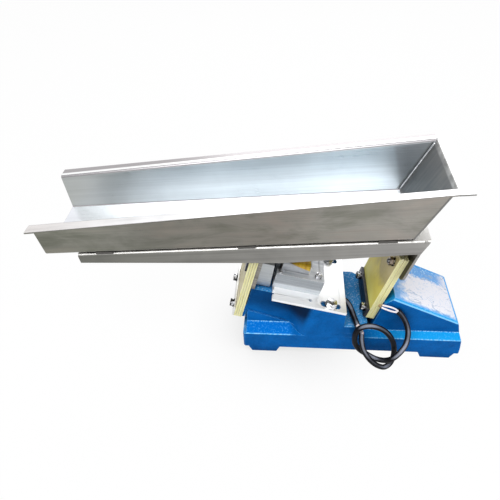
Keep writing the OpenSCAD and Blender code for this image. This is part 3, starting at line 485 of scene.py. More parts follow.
class CastPaint(Look):
    """Blue enamel on cast iron, laid on as layers, each one over the colour so far. Several layers are painted
    light and shade.
    """

    def __init__(self):
        super().__init__("cast_blue", (0.005, 0.1, 0.4), 0.4, 0.0, Specular_IOR_Level=0.03)
        self.grain = self.noise(420, 4, 0.6)
        self.cloud = self.noise(30, 4, 0.6, distort=0.4)
        self.fleck = self.ramp(self.grain, (0.53, 0.0), (0.64, 1.0))
        self.facing = self.up()
        self.level = self.step(self.facing, *LEVEL)
        self.at = self.place()
        self.wedge = self.past(LENGTHWISE, *WEDGE_START)
        self.head = self.past(LENGTHWISE, *HEAD_END)
        self.ends = self.calc("MAXIMUM", self.wedge, self.head)
        paint = self.flanks()
        for layer in (self.edge_lines, self.plate_shade, self.level_faces, self.wedge_top, self.sharp_edges,
                      self.wedge_rims, self.corners, self.slots):
            paint = layer(paint)
        self.colour(paint)
        self.rough(self.ramp(self.grain, (0.3, 0.25), (0.7, 0.5)))
        self.bump(self.grain, 0.0005, 0.5)
        self.bump(self.noise(1500, 3, 0.6), 0.00008, 0.4)
        self.bump(self.cloud, 0.0012, 0.2)

    def flanks(self):
        """Dark flanks, and bevels painted brighter as lit from above, with pale flecks."""
        mottled = self.total((self.grain, 0.3), (self.cloud, 0.7))
        flank = self.ramp(mottled, (0.35, (0.0005, 0.088, 0.315)), (0.65, (0.002, 0.145, 0.50)))
        azure = self.mix(self.wedge, (0.0005, 0.170, 0.65), (0.008, 0.36, 0.86))
        lit_slope = self.mix(self.times(self.fleck, 0.4), azure, (0.10, 0.50, 0.95))
        return self.mix(self.times(self.step(self.facing, 0.45, 0.66), self.ends), flank, lit_slope)

    def edge_lines(self, paint):
        """Rounded edges and creases catch the light as thin pale lines."""
        rim = self.ramp(self.grain, (0.40, (0.03, 0.33, 0.85)), (0.56, (0.14, 0.58, 1.0)),
                        (0.66, (0.60, 0.86, 1.0)))
        glint = self.ramp(self.noise(900, 2, 0.5), (0.50, (0.01, 0.24, 0.75)), (0.56, (0.34, 0.74, 1.0)))
        bright = self.ramp(self.noise(300, 2, 0.5), (0.40, (0.04, 0.40, 0.92)), (0.60, (0.30, 0.70, 1.0)))
        endways = self.calc("ABSOLUTE", self.flat()["X"])
        rounded = self.times(self.step(self.facing, 0.10, 0.16), self.step(self.facing, 0.66, 0.60),
                             self.step(endways, 0.93, 0.88))
        head = self.times(self.head, self.step(self.side(), *HEAD_FLANK))
        wedge = self.times(self.wedge, self.step(self.side(), *WEDGE_FLANK))
        crease = self.times(self.line(self.reach(OFF_CREASE), CREASE_AT, 0.0012),
                            self.step(self.at["X"], *CREASE_END))
        for part, share, colour in ((rounded, self.ends, rim),
                                    (head, self.line(self.at["Z"], HEAD_LINE, 0.0011), glint),
                                    (wedge, self.line(self.at["Z"], WEDGE_LINE, 0.0009), glint),
                                    (self.ends, self.line(self.at["Z"], SLAB_LINE, 0.0011), bright),
                                    (head, crease, bright)):
            paint = self.mix(self.times(part, share), paint, colour)
        return paint

    def plate_shade(self, paint):
        """The flank is dark under the magnet's plate."""
        fade = self.ramp(self.along(DRIVE_X, *PLATE_SHADE_FADE), (0.2, 0.55), (0.8, 0.93))
        sideways = self.calc("ABSOLUTE", self.flat()["Y"])
        share = self.times(self.past(DRIVE_Z, *PLATE_SHADE_Z), self.past(DRIVE_X, *PLATE_SHADE_X),
                           self.step(self.facing, 0.5, 0.4), self.step(sideways, 0.4, 0.6), fade)
        return self.mix(share, paint, (0.0, 0.006, 0.024))

    def level_faces(self, paint):
        """Level faces are painted brightest, as lit from above, with pale flecks."""
        flecked = self.mix(self.times(self.fleck, 0.75), (0.05, 0.32, 0.74), (0.46, 0.72, 0.97))
        return self.mix(self.level, paint, flecked)

    def wedge_top(self, paint):
        """The top of the wedge has a pale painted reflection, less so towards its rim and its upper end."""
        top = self.times(self.step(self.facing, 0.80, 0.88), self.past(LENGTHWISE, *WEDGE_TOP))
        middle = self.times(self.step(self.side(), *GLARE_SIDE), self.past(LENGTHWISE, *GLARE_X))
        glare_share = self.total((middle, 0.42), (self.noise(85, 6, 0.68, distort=0.9), 0.9))
        return self.mix(self.times(top, self.ramp(glare_share, (0.48, 0.22), (0.78, 1.0))), paint, self.bare())

    def bare(self):
        """The colour of the painted reflection on the wedge's top, with a band along the far side where the blue
        paint shows, and scratches.
        """
        pitted = self.ramp(self.noise(420, 3, 0.6), (0.34, 0.0), (0.42, 1.0))
        bare = self.mix(pitted, (0.62, 0.72, 0.88), (0.88, 0.88, 0.94))
        ragged = self.total((self.at["Y"], 1.0), (self.noise(160, 4, 0.7), 0.024))
        far_band = self.times(self.step(ragged, *FAR_BAND), self.step(self.at["X"], *FAR_BAND_END))
        bare = self.mix(far_band, bare, self.mix(self.fleck, (0.17, 0.42, 0.84), (0.50, 0.74, 0.97)))
        # the scratches are thin curved strokes
        stroke = self.line(self.noise(1.0, 3, 0.5, self.coords((26, 60, 26)), 1.2), 0.53, 0.020)
        patch = self.ramp(self.noise(28, 2, 0.5), (0.42, 0.0), (0.52, 0.85))
        return self.mix(self.times(stroke, patch), bare, (0.40, 0.50, 0.66))

    def sharp_edges(self, paint):
        """Painted highlights along sharp edges, broken up by the grain."""
        painted_highlight = self.times(self.edges(0.0016), self.ramp(self.grain, (0.38, 0.35), (0.58, 1.0)), 0.5)
        return self.mix(painted_highlight, paint, (0.16, 0.58, 0.98))

    def wedge_rims(self, paint):
        """Painted highlights on the wedge's rims, bluer on the near one."""
        sloping = self.step(self.facing, 0.30, 0.45)
        sharp = self.times(self.edges(0.0022), sloping, self.step(self.at["Z"], *RIM_Z))
        outer = self.times(self.step(self.side(), *RIM_SIDE), sloping, self.step(self.at["Z"], *OUTER_RIM_Z))
        painted_highlight = self.times(self.calc("MAXIMUM", sharp, outer), self.step(self.at["X"], *RIM_X), 0.8)
        rim = self.mix(self.step(self.at["Y"], *NEAR_RIM_END), (0.26, 0.64, 0.98), (0.44, 0.62, 0.80))
        return self.mix(painted_highlight, paint, rim)

    def corners(self, paint):
        """Painted shade in corners and under other pieces, less on level faces."""
        hidden = self.ramp(self.open_air(0.03), (0.15, 0.10), (0.75, 1.0))
        return self.mix(self.ramp(self.level, (0.0, 1.0), (1.0, 0.45)), paint, self.tint(paint, hidden))

    def slots(self, paint):
        """Painted shade on level faces at the bottom of the plate's slots."""
        slot = self.mix(self.step(self.open_air(0.008), 0.62, 0.30), (1.0, 1.0, 1.0), (0.10, 0.16, 0.22))
        return self.mix(self.level, paint, self.tint(paint, slot))


# Springs, core and coil


def leaf_resin():
    """Fibreglass sheet: smooth on its faces, and layered where it is cut, with painted highlights on its edges,
    and painted light and shade up the rear pack's face.
    """
    look = Look("leaf", (0.7, 0.68, 0.25), 0.35, 0.0, Specular_IOR_Level=0.3)
    weave = look.noise(1.0, 4, 0.7, look.coords((2200, 120, 40), (0, DRIVE_TURN, 0)))
    cut = look.ramp(weave, (0.36, (0.62, 0.55, 0.17)), (0.48, (0.90, 0.86, 0.38)), (0.62, (1.0, 0.98, 0.66)))
    cloud = look.noise(34, 4, 0.6, distort=0.6)
    uneven = look.times(look.calc("SUBTRACT", cloud, 0.5), 0.5)
    height = look.calc("ADD", look.along(DRIVE_Z, *SPRING_HEIGHT), uneven)
    # the rear pack's face is painted bright low down and in painted shade higher up
    rear = look.ramp(height, (0.15, (0.98, 0.90, 0.24)), (0.42, (0.86, 0.72, 0.13)),
                     (0.60, (0.52, 0.42, 0.13)), (0.85, (0.66, 0.54, 0.22)))
    front = look.ramp(cloud, (0.4, (0.64, 0.55, 0.30)), (0.6, (0.78, 0.69, 0.38)))
    face = look.mix(look.past(LENGTHWISE, *REAR_PACK), front, rear)
    paint = look.mix(look.step(look.calc("ABSOLUTE", look.flat()["X"]), 0.5, 0.8), cut, face)
    # painted highlights on the edges
    paint = look.mix(look.times(look.edges(0.0012), 0.6), paint, (0.97, 0.95, 0.72))
    stain = look.noise(60, 5, 0.7, distort=0.8)
    look.colour(look.mix(look.ramp(stain, (0.60, 0.0), (0.76, 0.30)), paint, (0.34, 0.26, 0.07)))
    look.rough(look.ramp(stain, (0.3, 0.28), (0.7, 0.5)))
    look.bump(weave, 0.00012, 0.5)
    return look


def laminated(name, dark, light, pitch=0.0007, metal=1.0):
    """Stacked sheets, with their edges showing as fine lines square to the drive's height."""
    look = Look(name, light, 0.4, metal)
    wave = look.calc("SINE", look.times(look.reach(DRIVE_Z), 2 * math.pi / pitch))
    uneven = look.noise(1.0, 4, 0.6, look.coords((20, 20, 900), (0, DRIVE_TURN, 0)))
    stain = look.noise(45, 5, 0.6, distort=0.5)
    look.colour(look.ramp(look.total((uneven, 0.6), (stain, 0.4)), (0.36, dark), (0.62, light)))
    look.rough(look.ramp(stain, (0.3, 0.32), (0.7, 0.55)))
    look.bump(wave, 0.00005, 0.5)
    look.bump(uneven, 0.0003, 0.5)
    return look


def core_sheets():
    """Laminations under varnish, painted paler on top as lit from above, with a painted reflection of the bright
    plate low on the flanks, and painted highlights on the edges.
    """
    look = laminated("core_iron", (0.30, 0.32, 0.345), (0.50, 0.53, 0.56), metal=0.35)
    lines = look.noise(1.0, 4, 0.7, look.coords((8, 30, 1500), (0, DRIVE_TURN, 0)))
    plate_reflection = look.step(look.along(DRIVE_Z, *CORE_HEIGHT), 0.42, 0.22)
    flank = look.mix(plate_reflection, look.ramp(lines, (0.38, (0.24, 0.26, 0.28)), (0.60, (0.46, 0.49, 0.52))),
                     look.ramp(lines, (0.40, (0.52, 0.56, 0.60)), (0.56, (0.80, 0.84, 0.87))))
    streaks = look.noise(1.0, 4, 0.6, look.coords((14, 220, 220), (0, DRIVE_TURN, 0)))
    top = look.ramp(streaks, (0.36, (0.58, 0.61, 0.65)), (0.62, (0.82, 0.84, 0.86)))
    paint = look.mix(look.step(look.up(), 0.80, 0.92), flank, top)
    look.colour(look.mix(look.edges(0.0009), paint, (0.93, 0.95, 0.97)))
    return look


def tape():
    """Amber tape on the coil's top, and grey round its flanks."""
    look = Look("coil_tape", (0.80, 0.50, 0.02), 0.32, 0.0, Coat_Weight=0.3, Coat_Roughness=0.2)
    wraps = look.noise(1.0, 2, 0.5, look.coords((260, 8, 8), (0, DRIVE_TURN, 0)))
    folds = look.noise(70, 4, 0.6, distort=1.2)
    amber = look.ramp(wraps, (0.30, (0.72, 0.40, 0.01)), (0.6, (0.95, 0.62, 0.03)))
    amber = look.mix(look.ramp(folds, (0.45, 0.0), (0.75, 0.5)), amber, (0.55, 0.33, 0.02))
    amber = look.mix(look.past(DRIVE_X, *COIL_FRONT), (0.12, 0.07, 0.025), amber)
    grey = look.ramp(folds, (0.35, (0.50, 0.52, 0.55)), (0.65, (0.66, 0.68, 0.71)))
    look.colour(look.mix(look.past(OFF_TAPE, *TAPE_START), grey, amber))
    look.bump(wraps, 0.0006, 0.6)
    look.bump(folds, 0.0008, 0.5)
    return look


# Small parts and cord


def plain_metal(name, colour, rough, spots=0.25, scale=120, under=0.35, left=1.0):
    """Small steel parts, with painted shade where they face down or left, as if they mirrored a dark bench."""
    look = Look(name, colour, rough, 1.0)
    grain = look.noise(scale, 4, 0.6)
    dim = tuple(c * (1 - spots) for c in colour)
    paint = look.ramp(grain, (0.35, dim), (0.65, colour))
    paint = look.tint(paint, look.ramp(look.step(look.up(), -0.4, 0.6), (0.0, under), (1.0, 1.0)))
    if left < 1:
        leftward = look.step(look.flat()["X"], -0.35, -0.75)
        paint = look.tint(paint, look.ramp(leftward, (0.0, 1.0), (1.0, left)))
    look.colour(paint)
    look.rough(look.ramp(grain, (0.3, rough * 0.75), (0.7, rough * 1.4)))
    look.bump(grain, 0.00012, 0.4)
    return look


def clamp_bars():
    """Clamp bars painted dark, as in shade, and the one at the foot of the front springs painted pale, as brightly
    lit.
    """
    look = plain_metal("bar_steel", (0.10, 0.105, 0.13), 0.35, spots=0.4)
    dark = look.coloured()
    pale = look.ramp(look.noise(90, 4, 0.6), (0.35, (0.62, 0.62, 0.60)), (0.65, (0.88, 0.88, 0.86)))
    at = look.place()
    # painted light on the bar at the foot of the front springs
    low_front = look.times(look.step(at["X"], *BRIGHT_BAR_X), look.step(at["Z"], *BRIGHT_BAR_Z))
    look.colour(look.mix(low_front, dark, pale))
    return look


def bolt_zinc():
    """Bright zinc with blotches, and blotched black on the spring clamps as painted dark reflections."""
    look = plain_metal("zinc", (0.92, 0.93, 0.96), 0.22, spots=0.35, scale=420, under=0.08, left=0.07)
    bright = look.coloured()
    length = look.place()["X"]
    clamps = look.calc("MAXIMUM", look.step(length, *FRONT_CLAMPS), look.step(length, *REAR_CLAMPS))
    # painted dark reflections: black blotches on the spring clamps
    spots = look.ramp(look.noise(330, 2, 0.5), (0.46, 0.03), (0.54, 0.9))
    pale = look.mix(0.3, bright, (0.95, 0.96, 0.98))
    look.colour(look.mix(clamps, pale, look.tint(bright, spots)))
    return look


def varied(name, a, b, rough, scale=150):
    """A dull material between two colours."""
    look = Look(name, a, rough, 0.0)
    grain = look.noise(scale, 4, 0.6)
    look.colour(look.ramp(grain, (0.35, a), (0.65, b)))
    look.rough(look.ramp(grain, (0.3, rough * 0.85), (0.7, rough * 1.2)))
    look.bump(grain, 0.0001, 0.4)
    return look


def former():
    """Dark moulded former, with its rear flange in pale plastic."""
    look = varied("former_plastic", (0.03, 0.028, 0.026), (0.06, 0.055, 0.05), 0.5)
    dark = look.coloured()
    pale = look.ramp(look.noise(150, 3), (0.35, (0.66, 0.65, 0.58)), (0.65, (0.84, 0.83, 0.78)))
    look.colour(look.mix(look.past(DRIVE_X, *FORMER_REAR), dark, pale))
    return look


def rubber():
    """Black sheath with a painted sheen where it faces up and forward, and scuffed pale at its scars."""
    look = Look("cord_black", (0.01, 0.01, 0.011), 0.34, 0.0, Specular_IOR_Level=0.08)
    scuff = look.noise(35, 5, 0.7)
    sheath = look.ramp(scuff, (0.45, (0.005, 0.005, 0.007)), (0.75, (0.022, 0.023, 0.027)))
    # painted sheen on faces that point up and forward
    facing = look.dot(look.smooth(), (0.0, -0.55, 0.835))
    painted_sheen = look.times(look.step(facing, 0.72, 0.99), look.ramp(scuff, (0.35, 0.5), (0.65, 1.0)))
    paint = look.mix(painted_sheen, sheath, (0.32, 0.34, 0.41))
    flakes = look.ramp(look.noise(420, 2, 0.5), (0.42, 0.25), (0.54, 1.0))
    for at in SCARS:
        off = look.node("ShaderNodeVectorMath", {0: look.spot(), 1: at}, operation="DISTANCE")
        scar = look.step(off.outputs["Value"], *SCAR_RADIUS)
        paint = look.mix(look.times(scar, flakes), paint, (0.96, 0.82, 0.80))
    look.colour(paint)
    look.rough(look.ramp(scuff, (0.3, 0.32), (0.7, 0.55)))
    look.bump(look.noise(500, 3, 0.6), 0.00006, 0.5)
    return look


LOOKS = {
    "cast_blue": CastPaint(),
    "trough_steel": trough_sheet(),
    "end_steel": end_sheet(),
    "frame_steel": frame_sheet(),
    "spacer_steel": plain_metal("spacer_steel", (0.26, 0.25, 0.235), 0.5),
    "bracket_steel": laminated("bracket_steel", (0.12, 0.11, 0.095), (0.36, 0.345, 0.31), 0.003),
    "bar_steel": clamp_bars(),
    "plate_metal": plate_zinc(),
    "core_iron": core_sheets(),
    "armature_iron": laminated("armature_iron", (0.42, 0.44, 0.45), (0.54, 0.56, 0.56)),
    "coil_tape": tape(),
    "former_plastic": former(),
    "leaf": leaf_resin(),
    "zinc": bolt_zinc(),
    "nut_zinc": plain_metal("nut_zinc", (0.36, 0.30, 0.25), 0.3, spots=0.5, scale=420, under=0.2),
    "screw_black": plain_metal("screw_black", (0.25, 0.25, 0.26), 0.4, spots=0.3, scale=300),
    "cord_black": rubber(),
    "wire": varied("wire", (0.90, 0.80, 0.82), (0.97, 0.96, 0.97), 0.4, 260),
}
COPPER = plain_metal("copper", (0.42, 0.25, 0.13), 0.35, spots=0.3, scale=500)
WELD = plain_metal("weld", (0.93, 0.94, 0.96), 0.22, spots=0.55, scale=900, under=0.7)


def dress(obj, slot, look=None):
    """Gives a piece its slot, with the slot's look or one of its own."""
    obj.data.materials.clear()
    obj.data.materials.append((look or LOOKS[slot]).m)


for row in frame["record"]["subparts"]:
    dress(NODES[row["node"]], row["material_slot"])

# ----------------------------------------------------------------- pieces

SHARP_ANGLE = 35


def new_object(name, bm):
    mesh = bpy.data.meshes.new(name)
    bm.to_mesh(mesh)
    bm.free()
    obj = bpy.data.objects.new(name, mesh)
    scene.collection.objects.link(obj)
    return obj


def mesh_piece(name, bm, body, slot, look=None, sharp_angle=SHARP_ANGLE):
    """A rigid piece on a body. Its edges are smooth up to an angle in degrees."""
    bmesh.ops.recalc_face_normals(bm, faces=bm.faces)
    obj = new_object(name, bm)
    for p in obj.data.polygons:
        p.use_smooth = True
    obj.data.set_sharp_from_angle(angle=math.radians(sharp_angle))
    dress(obj, slot, look)
    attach(obj, body)
    return obj


# Cord: the route's points are those of the CAD source, in millimetres
CORD_D, WIRE_D = 0.0075, 0.0024
COPPER_D = WIRE_D * 0.6
ORIGIN_X = 28.161
ROUTE_STEPS = 6
CORD_ROUTE = [
    (117, -16, 80.8), (130, -16, 77.5), (141, -16, 74.2), (147, -18.5, 69.5), (151, -26, 66),
    (153.8, -38.5, 65.2), (156.5, -51, 65.5), (159.5, -57.8, 63), (162.5, -62.5, 57), (163, -68, 50.5),
    (165.5, -74, 41), (172, -78.5, 30), (181, -80, 18.5), (190.5, -79, 9.5), (199, -77, 5.5),
    (206.5, -73, 10), (209.5, -69, 24), (207, -66, 42.5), (199.5, -64, 58.5), (189, -63, 69.5),
    (176, -64, 77), (164, -65.5, 78), (156, -66, 71.5), (153.5, -65.5, 56.5), (156, -65, 39.5),
    (163.5, -65, 26.5), (174, -66.5, 19), (186, -71.8, 16.5), (197, -77.5, 21.5), (206, -80, 30.5),
    (214.5, -76, 38.5), (221.5, -69, 46.5), (224, -61, 58.5), (221.5, -54.5, 70), (215, -50.5, 82),
    (207, -49, 92)]
WIRE_ROUTES = [
    [(208, -49.2, 91.5), (203, -48.6, 95.5), (196, -49.5, 100), (188, -49.5, 102.5), (181, -48, 102.5)],
    [(208, -49.2, 90), (202, -51, 92.5), (195, -52, 96), (187, -51, 99), (180, -48.5, 101)]]


def smooth_route(points):
    """A soft curve through the points, in metres."""
    p = [Vector((x - ORIGIN_X, y, z)) * MM for x, y, z in points]
    out = []
    for i in range(len(p) - 1):
        a, b, c, d = p[max(i - 1, 0)], p[i], p[i + 1], p[min(i + 2, len(p) - 1)]
        for s in range(ROUTE_STEPS):
            t = s / ROUTE_STEPS
            out.append(0.5 * (2 * b + (c - a) * t + (2 * a - 5 * b + 4 * c - d) * t * t
                              + (3 * b - a - 3 * c + d) * t ** 3))
    return out + [p[-1]]


def tube(name, points, diameter, slot, look=None):
    curve = bpy.data.curves.new(name, "CURVE")
    curve.dimensions = "3D"
    curve.bevel_depth, curve.bevel_resolution = diameter / 2, 5
    curve.use_fill_caps = True
    line = curve.splines.new("POLY")
    line.points.add(len(points) - 1)
    for at, p in zip(line.points, points):
        at.co = (*p, 1)
    line.use_smooth = True
    obj = bpy.data.objects.new(name, curve)
    scene.collection.objects.link(obj)
    dress(obj, slot, look)
    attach(obj, "base")
    return obj


cord_line = smooth_route(CORD_ROUTE)
cord = tube("cord", cord_line, CORD_D, "cord_black")
for number, route in enumerate(WIRE_ROUTES):
    # the last sixth of each wire is bare copper
    line = smooth_route(route)
    bare = len(line) * 5 // 6
    tube(f"wire_{number}", line[:bare + 1], WIRE_D, "wire")
    tube(f"wire_core_{number}", line[bare - 1:], COPPER_D, "wire", COPPER)
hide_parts("power_cord")
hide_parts("cord_wires")


# Leaf packs: each leaf is a board of its own
LEAVES, LEAF_SEAM, LEAF_STEP, LEAF_ROUND = 4, 0.00018, 0.0004, 0.0003
BEND_ROWS = 12


def leaf_pack(node, name):
    low, high = extent(solids(node)[0], DRIVE)
    half, middle = (high - low) / 2, (high + low) / 2
    thickness = (high.x - low.x) / LEAVES
    bm = bmesh.new()
    for i in range(LEAVES):
        # one draw for each leaf, so that the welds get the draws after these
        random.uniform(-1, 1)
        # every other leaf stands back at its long edges, and the rest at their ends
        size = Vector((thickness / 2 - LEAF_SEAM, half.y - LEAF_STEP * (i % 2),
                       half.z - LEAF_STEP * ((i + 1) % 2)))
        centre = Vector((low.x + thickness * (i + 0.5), middle.y, middle.z))
        for v in bmesh.ops.create_cube(bm, size=2)["verts"]:
            v.co = from_axes(centre + v.co * size, DRIVE)
    bmesh.ops.bevel(bm, geom=bm.edges[:], offset=LEAF_ROUND, segments=2, affect="EDGES", clamp_overlap=True)
    # rows of points across the boards, at even steps of the drive's height
    for k in range(1, BEND_ROWS):
        at = from_axes((0, 0, low.z + (high.z - low.z) * k / BEND_ROWS), DRIVE)
        whole = bm.verts[:] + bm.edges[:] + bm.faces[:]
        bmesh.ops.bisect_plane(bm, geom=whole, plane_co=at, plane_no=DRIVE_Z)
    bmesh.ops.recalc_face_normals(bm, faces=bm.faces)
    obj = new_object(name, bm)
    dress(obj, "leaf")
    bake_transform(obj)
    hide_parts(node)


leaf_pack("front_springs", "front_leaves")
leaf_pack("rear_springs", "rear_leaves")


# Turned shapes, made of rings of points round an axis
TURNED_POINTS, HEXAGON_POINTS, BEAD_POINTS = 24, 36, 10


def ring_of(bm, centre, axes, radii):
    """Points round a centre, in the plane of two axes, with one point for each radius."""
    out = []
    for i, r in enumerate(radii):
        angle = 2 * math.pi * i / len(radii)
        out.append(bm.verts.new(centre + axes[0] * (r * math.cos(angle)) + axes[1] * (r * math.sin(angle))))
    return out


def skin(bm, rings):
    """Joins rings of equally many points into one closed shape."""
    for one, two in zip(rings, rings[1:]):
        for i in range(len(one)):
            after = (i + 1) % len(one)
            bm.faces.new((one[i], one[after], two[after], two[i]))
    bm.faces.new(rings[0][::-1])
    bm.faces.new(rings[-1])


def stack(bm, centre, axes, rows):
    """A closed shape along the first axis. Each row is a distance along it and the radii there."""
    axis, side, other = axes
    skin(bm, [ring_of(bm, centre + axis * x, (side, other), radii) for x, radii in rows])


def lathe(bm, centre, axes, profile):
    """A shape turned round the first axis. The profile is pairs of distance along it and radius."""
    stack(bm, centre, axes, [(x, [r] * TURNED_POINTS) for x, r in profile])


def hexagon(bm, centre, axes, flats, low, high, turned_low=False, turned_high=False):
    """A hexagonal prism along the first axis, with its corners turned off at the ends asked for."""
    flat = flats / 2
    corner = flat / math.cos(math.pi / 6)
    drop = (corner - flat) * 0.6
    angles = [2 * math.pi * i / HEXAGON_POINTS for i in range(HEXAGON_POINTS)]
    outline = [flat / math.cos((a + math.pi / 6) % (math.pi / 3) - math.pi / 6) for a in angles]
    turned = [(0, flat * 0.97), (drop * 0.5, (flat + corner) / 2), (drop, corner)]
    profile = [(low + x, r) for x, r in turned] if turned_low else [(low, corner)]
    profile += [(high - x, r) for x, r in turned[::-1]] if turned_high else [(high, corner)]
    stack(bm, centre, axes, [(x, [min(side, r) for side in outline]) for x, r in profile])


def thread(start, end, diameter, pitch=0.001):
    """Profile of a threaded shank, as turned ridges."""
    r = diameter / 2
    out = [(start, r * 0.8)]
    x = start + pitch * 0.4
    while x + pitch < end - pitch * 0.6:
        out += [(x, r * 0.99), (x + pitch / 2, r * 0.88)]
        x += pitch
    return out + [(end - pitch * 0.5, r * 0.95), (end, r * 0.8)]


# Bolts and nuts, on the CAD solids' own axes
ALONG_DRIVE = (DRIVE_X, DRIVE_Z, DRIVE_X.cross(DRIVE_Z))
THROUGH_PLATE = (DRIVE_Z, DRIVE_X, DRIVE_Z.cross(DRIVE_X))
# Width across the flats, and height of the head, as shares of the shank's diameter
FLATS_SHARE, HEAD_SHARE = 1.65, 0.66
STUD_PITCH = 0.0008


def width_of(low, high):
    """The width across the flats."""
    return min(high.y - low.y, high.z - low.z)


def bolt_head_low(bm, centre, axes, low, high):
    """A bolt with its head at the lower end along the first axis."""
    flats = width_of(low, high)
    shank = flats / FLATS_SHARE
    neck = low.x + shank * HEAD_SHARE
    hexagon(bm, centre, axes, flats, low.x, neck, turned_low=True)
    lathe(bm, centre, axes, thread(neck, high.x, shank))


def bolt_head_high(bm, centre, axes, low, high):
    """A bolt with its head at the higher end along the first axis."""
    flats = width_of(low, high)
    shank = flats / FLATS_SHARE
    neck = high.x - shank * HEAD_SHARE
    hexagon(bm, centre, axes, flats, neck, high.x, turned_high=True)
    lathe(bm, centre, axes, thread(low.x, neck, shank))


def nut(bm, centre, axes, low, high):
    hexagon(bm, centre, axes, width_of(low, high), low.x, high.x, turned_low=True, turned_high=True)


def stud(bm, centre, axes, low, high):
    lathe(bm, centre, axes, thread(low.x, high.x, high.y - low.y, STUD_PITCH))


def fasteners(node, body, axes, draw, slot="zinc"):
    """Replaces a node of bolts or nuts by one piece, each of them in its own place."""
    bm = bmesh.new()
    for points in solids(node):
        low, high = extent(points, axes)
        centre = from_axes((0, (low.y + high.y) / 2, (low.z + high.z) / 2), axes)
        draw(bm, centre, axes, low, high)
    obj = mesh_piece(node + "_cut", bm, body, slot)
    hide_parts(node)


fasteners("front_lower_bolts", "base", ALONG_DRIVE, bolt_head_low)
fasteners("rear_lower_bolts", "base", ALONG_DRIVE, bolt_head_low)
fasteners("front_upper_bolts", "tray", ALONG_DRIVE, bolt_head_low)
fasteners("rear_upper_bolts", "tray", ALONG_DRIVE, bolt_head_high)
fasteners("plate_bolts", "base", THROUGH_PLATE, bolt_head_high)
fasteners("rear_upper_nuts", "tray", ALONG_DRIVE, nut, "nut_zinc")
fasteners("core_nuts", "base", THROUGH_PLATE, nut)
fasteners("core_bolts", "base", THROUGH_PLATE, stud)

# Welds down the corners of the walls and the end plate, in short uneven beads
WELD_FOOT, WELD_HEAD = (0.1757, 0.0476, 0.2212), (0.2046, 0.0487, 0.2852)
BEAD_LENGTH, BEAD_STEPS, BEAD_RADIUS = 0.0019, 4, 0.00105
WELD_SHARP_ANGLE = 80


def weld(name, side):
    """One weld. The side is 1 for the far corner and -1 for the near one."""
    start, end = (Vector((x, side * y, z)) for x, y, z in (WELD_FOOT, WELD_HEAD))
    way = (end - start).normalized()
    one = way.cross(ACROSS).normalized()
    two = way.cross(one)
    count = int((end - start).length / BEAD_LENGTH) * BEAD_STEPS
    bm = bmesh.new()
    rings = []
    for i in range(count + 1):
        swell = 1 + 0.16 * math.sin(2 * math.pi * i / BEAD_STEPS) + random.uniform(-0.10, 0.10)
        if i in (0, count):
            swell = 0.4
        radii = [BEAD_RADIUS * swell] * BEAD_POINTS
        rings.append(ring_of(bm, start.lerp(end, i / count), (one, two), radii))
    skin(bm, rings)
    mesh_piece(name, bm, "tray", "trough_steel", WELD, WELD_SHARP_ANGLE)


weld("weld_left", 1)
weld("weld_right", -1)

# CAD solids that stay, with the width in metres to which their edges are rounded
ROUNDED = {
    "base_casting": 0.0016, "magnet_plate": 0.0004, "magnet_core": 0.0004, "coil_former": 0.0002,
    "coil": 0.0008, "front_lower_bar": 0.0004, "rear_lower_bar": 0.0004, "front_upper_bar": 0.0004,
    "armature_bracket": 0.0005, "armature": 0.0005, "trough_end": 0.0003, "trough": 0.0003,
    "spacer_bars": 0.0003, "trough_frame": 0.0004, "plate_washers": 0.0003, "core_washers": 0.0002,
    "front_lower_washers": 0.0003, "rear_lower_washers": 0.0003, "front_upper_washers": 0.0003,
    "rear_upper_washers": 0.0003}


def soften(node, width):
    """Rounds a CAD node's sharp edges with modifiers, and leaves its mesh as packed."""
    obj = NODES[node]
    if "custom_normal" in obj.data.attributes:
        obj.data.attributes.remove(obj.data.attributes["custom_normal"])
    for p in obj.data.polygons:
        p.use_smooth = True
    join = obj.modifiers.new("weld", "WELD")
    join.merge_threshold = 1e-5
    bevel = obj.modifiers.new("round", "BEVEL")
    bevel.width, bevel.segments = width, 2
    bevel.limit_method, bevel.angle_limit = "ANGLE", math.radians(SHARP_ANGLE)
    bevel.harden_normals = True
    bevel.use_clamp_overlap = True


for node, width in ROUNDED.items():
    soften(node, width)

# ------------------------------------------------------------------ stage

# The floor lies a little under the feet
FLOOR_HALF, FLOOR_Z = 6, -0.0002
# How much of the floor's colour is seen, and mirrored, as plain white
FLOOR_SEEN, FLOOR_MIRRORED = 0.97, 0.7
# Each lamp's name, place, size in metres and power in watts. All of them point at AIM.
LAMPS = (("key", (-0.3, -0.55, 1.6), 1.1, 19), ("fill", (1.1, -0.5, 0.9), 1.0, 5),
         ("back", (0.1, 1.2, 1.1), 1.2, 7))
AIM = Vector((0, 0, 0.15))


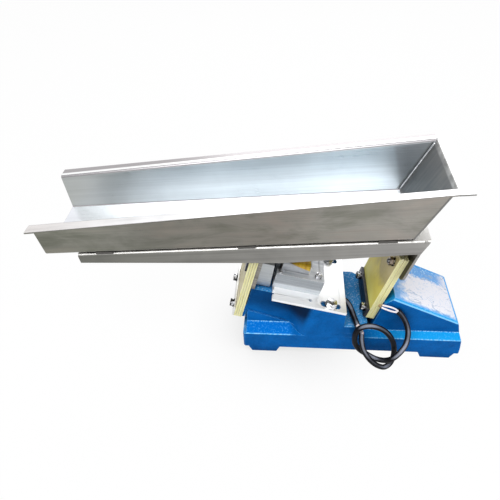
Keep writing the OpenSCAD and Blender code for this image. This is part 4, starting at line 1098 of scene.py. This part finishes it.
def make_floor():
    """A floor that is seen nearly as plain white, and is lit as a pale grey one."""
    bm = bmesh.new()
    bmesh.ops.create_grid(bm, x_segments=1, y_segments=1, size=FLOOR_HALF)
    floor = new_object("floor", bm)
    floor.location.z = FLOOR_Z
    look = Look("floor", (0.86, 0.86, 0.87), 0.8, 0.0)
    path = look.node("ShaderNodeLightPath")
    # the soft shade that the photo has round the left end of the base
    shade = look.ramp(look.open_air(0.10), (0.30, 0.78), (0.90, 1.0))
    near = look.mix(look.step(look.place()["X"], 0.17, 0.05), (1, 1, 1), shade)
    white = look.node("ShaderNodeEmission", {"Color": near, "Strength": 1.0})
    seen = look.calc("ADD", look.times(path.outputs["Is Camera Ray"], FLOOR_SEEN),
                     look.times(path.outputs["Is Glossy Ray"], FLOOR_MIRRORED), True)
    mix = look.node("ShaderNodeMixShader", {0: seen, 1: look.shader.outputs[0], 2: white.outputs[0]})
    out = next(n for n in look.tree.nodes if n.type == "OUTPUT_MATERIAL")
    look.tree.links.new(mix.outputs[0], out.inputs["Surface"])
    floor.data.materials.append(look.m)


def make_world():
    """A world that is seen and mirrored as white, and lights the part more softly."""
    world = bpy.data.worlds.new("studio")
    world.use_nodes = True
    tree = world.node_tree
    light = tree.nodes["Background"]
    light.inputs["Color"].default_value = rgb(0.95, 0.97, 1.0)
    light.inputs["Strength"].default_value = 0.42
    white = tree.nodes.new("ShaderNodeBackground")
    white.inputs["Color"].default_value = rgb(1, 1, 1)
    path = tree.nodes.new("ShaderNodeLightPath")
    seen = tree.nodes.new("ShaderNodeMath")
    seen.operation, seen.use_clamp = "ADD", True
    mix = tree.nodes.new("ShaderNodeMixShader")
    for start, end in ((path.outputs["Is Camera Ray"], seen.inputs[0]),
                       (path.outputs["Is Glossy Ray"], seen.inputs[1]),
                       (seen.outputs[0], mix.inputs[0]),
                       (light.outputs[0], mix.inputs[1]),
                       (white.outputs[0], mix.inputs[2]),
                       (mix.outputs[0], tree.nodes["World Output"].inputs["Surface"])):
        tree.links.new(start, end)
    scene.world = world


def make_lamp(name, at, size, power):
    data = bpy.data.lights.new(name, "AREA")
    data.shape, data.size, data.energy = "SQUARE", size, power
    lamp = bpy.data.objects.new(name, data)
    scene.collection.objects.link(lamp)
    lamp.location = at
    lamp.rotation_euler = (AIM - Vector(at)).to_track_quat("-Z", "Y").to_euler()


make_floor()
make_world()
for lamp_values in LAMPS:
    make_lamp(*lamp_values)
scene.view_settings.view_transform = "Standard"
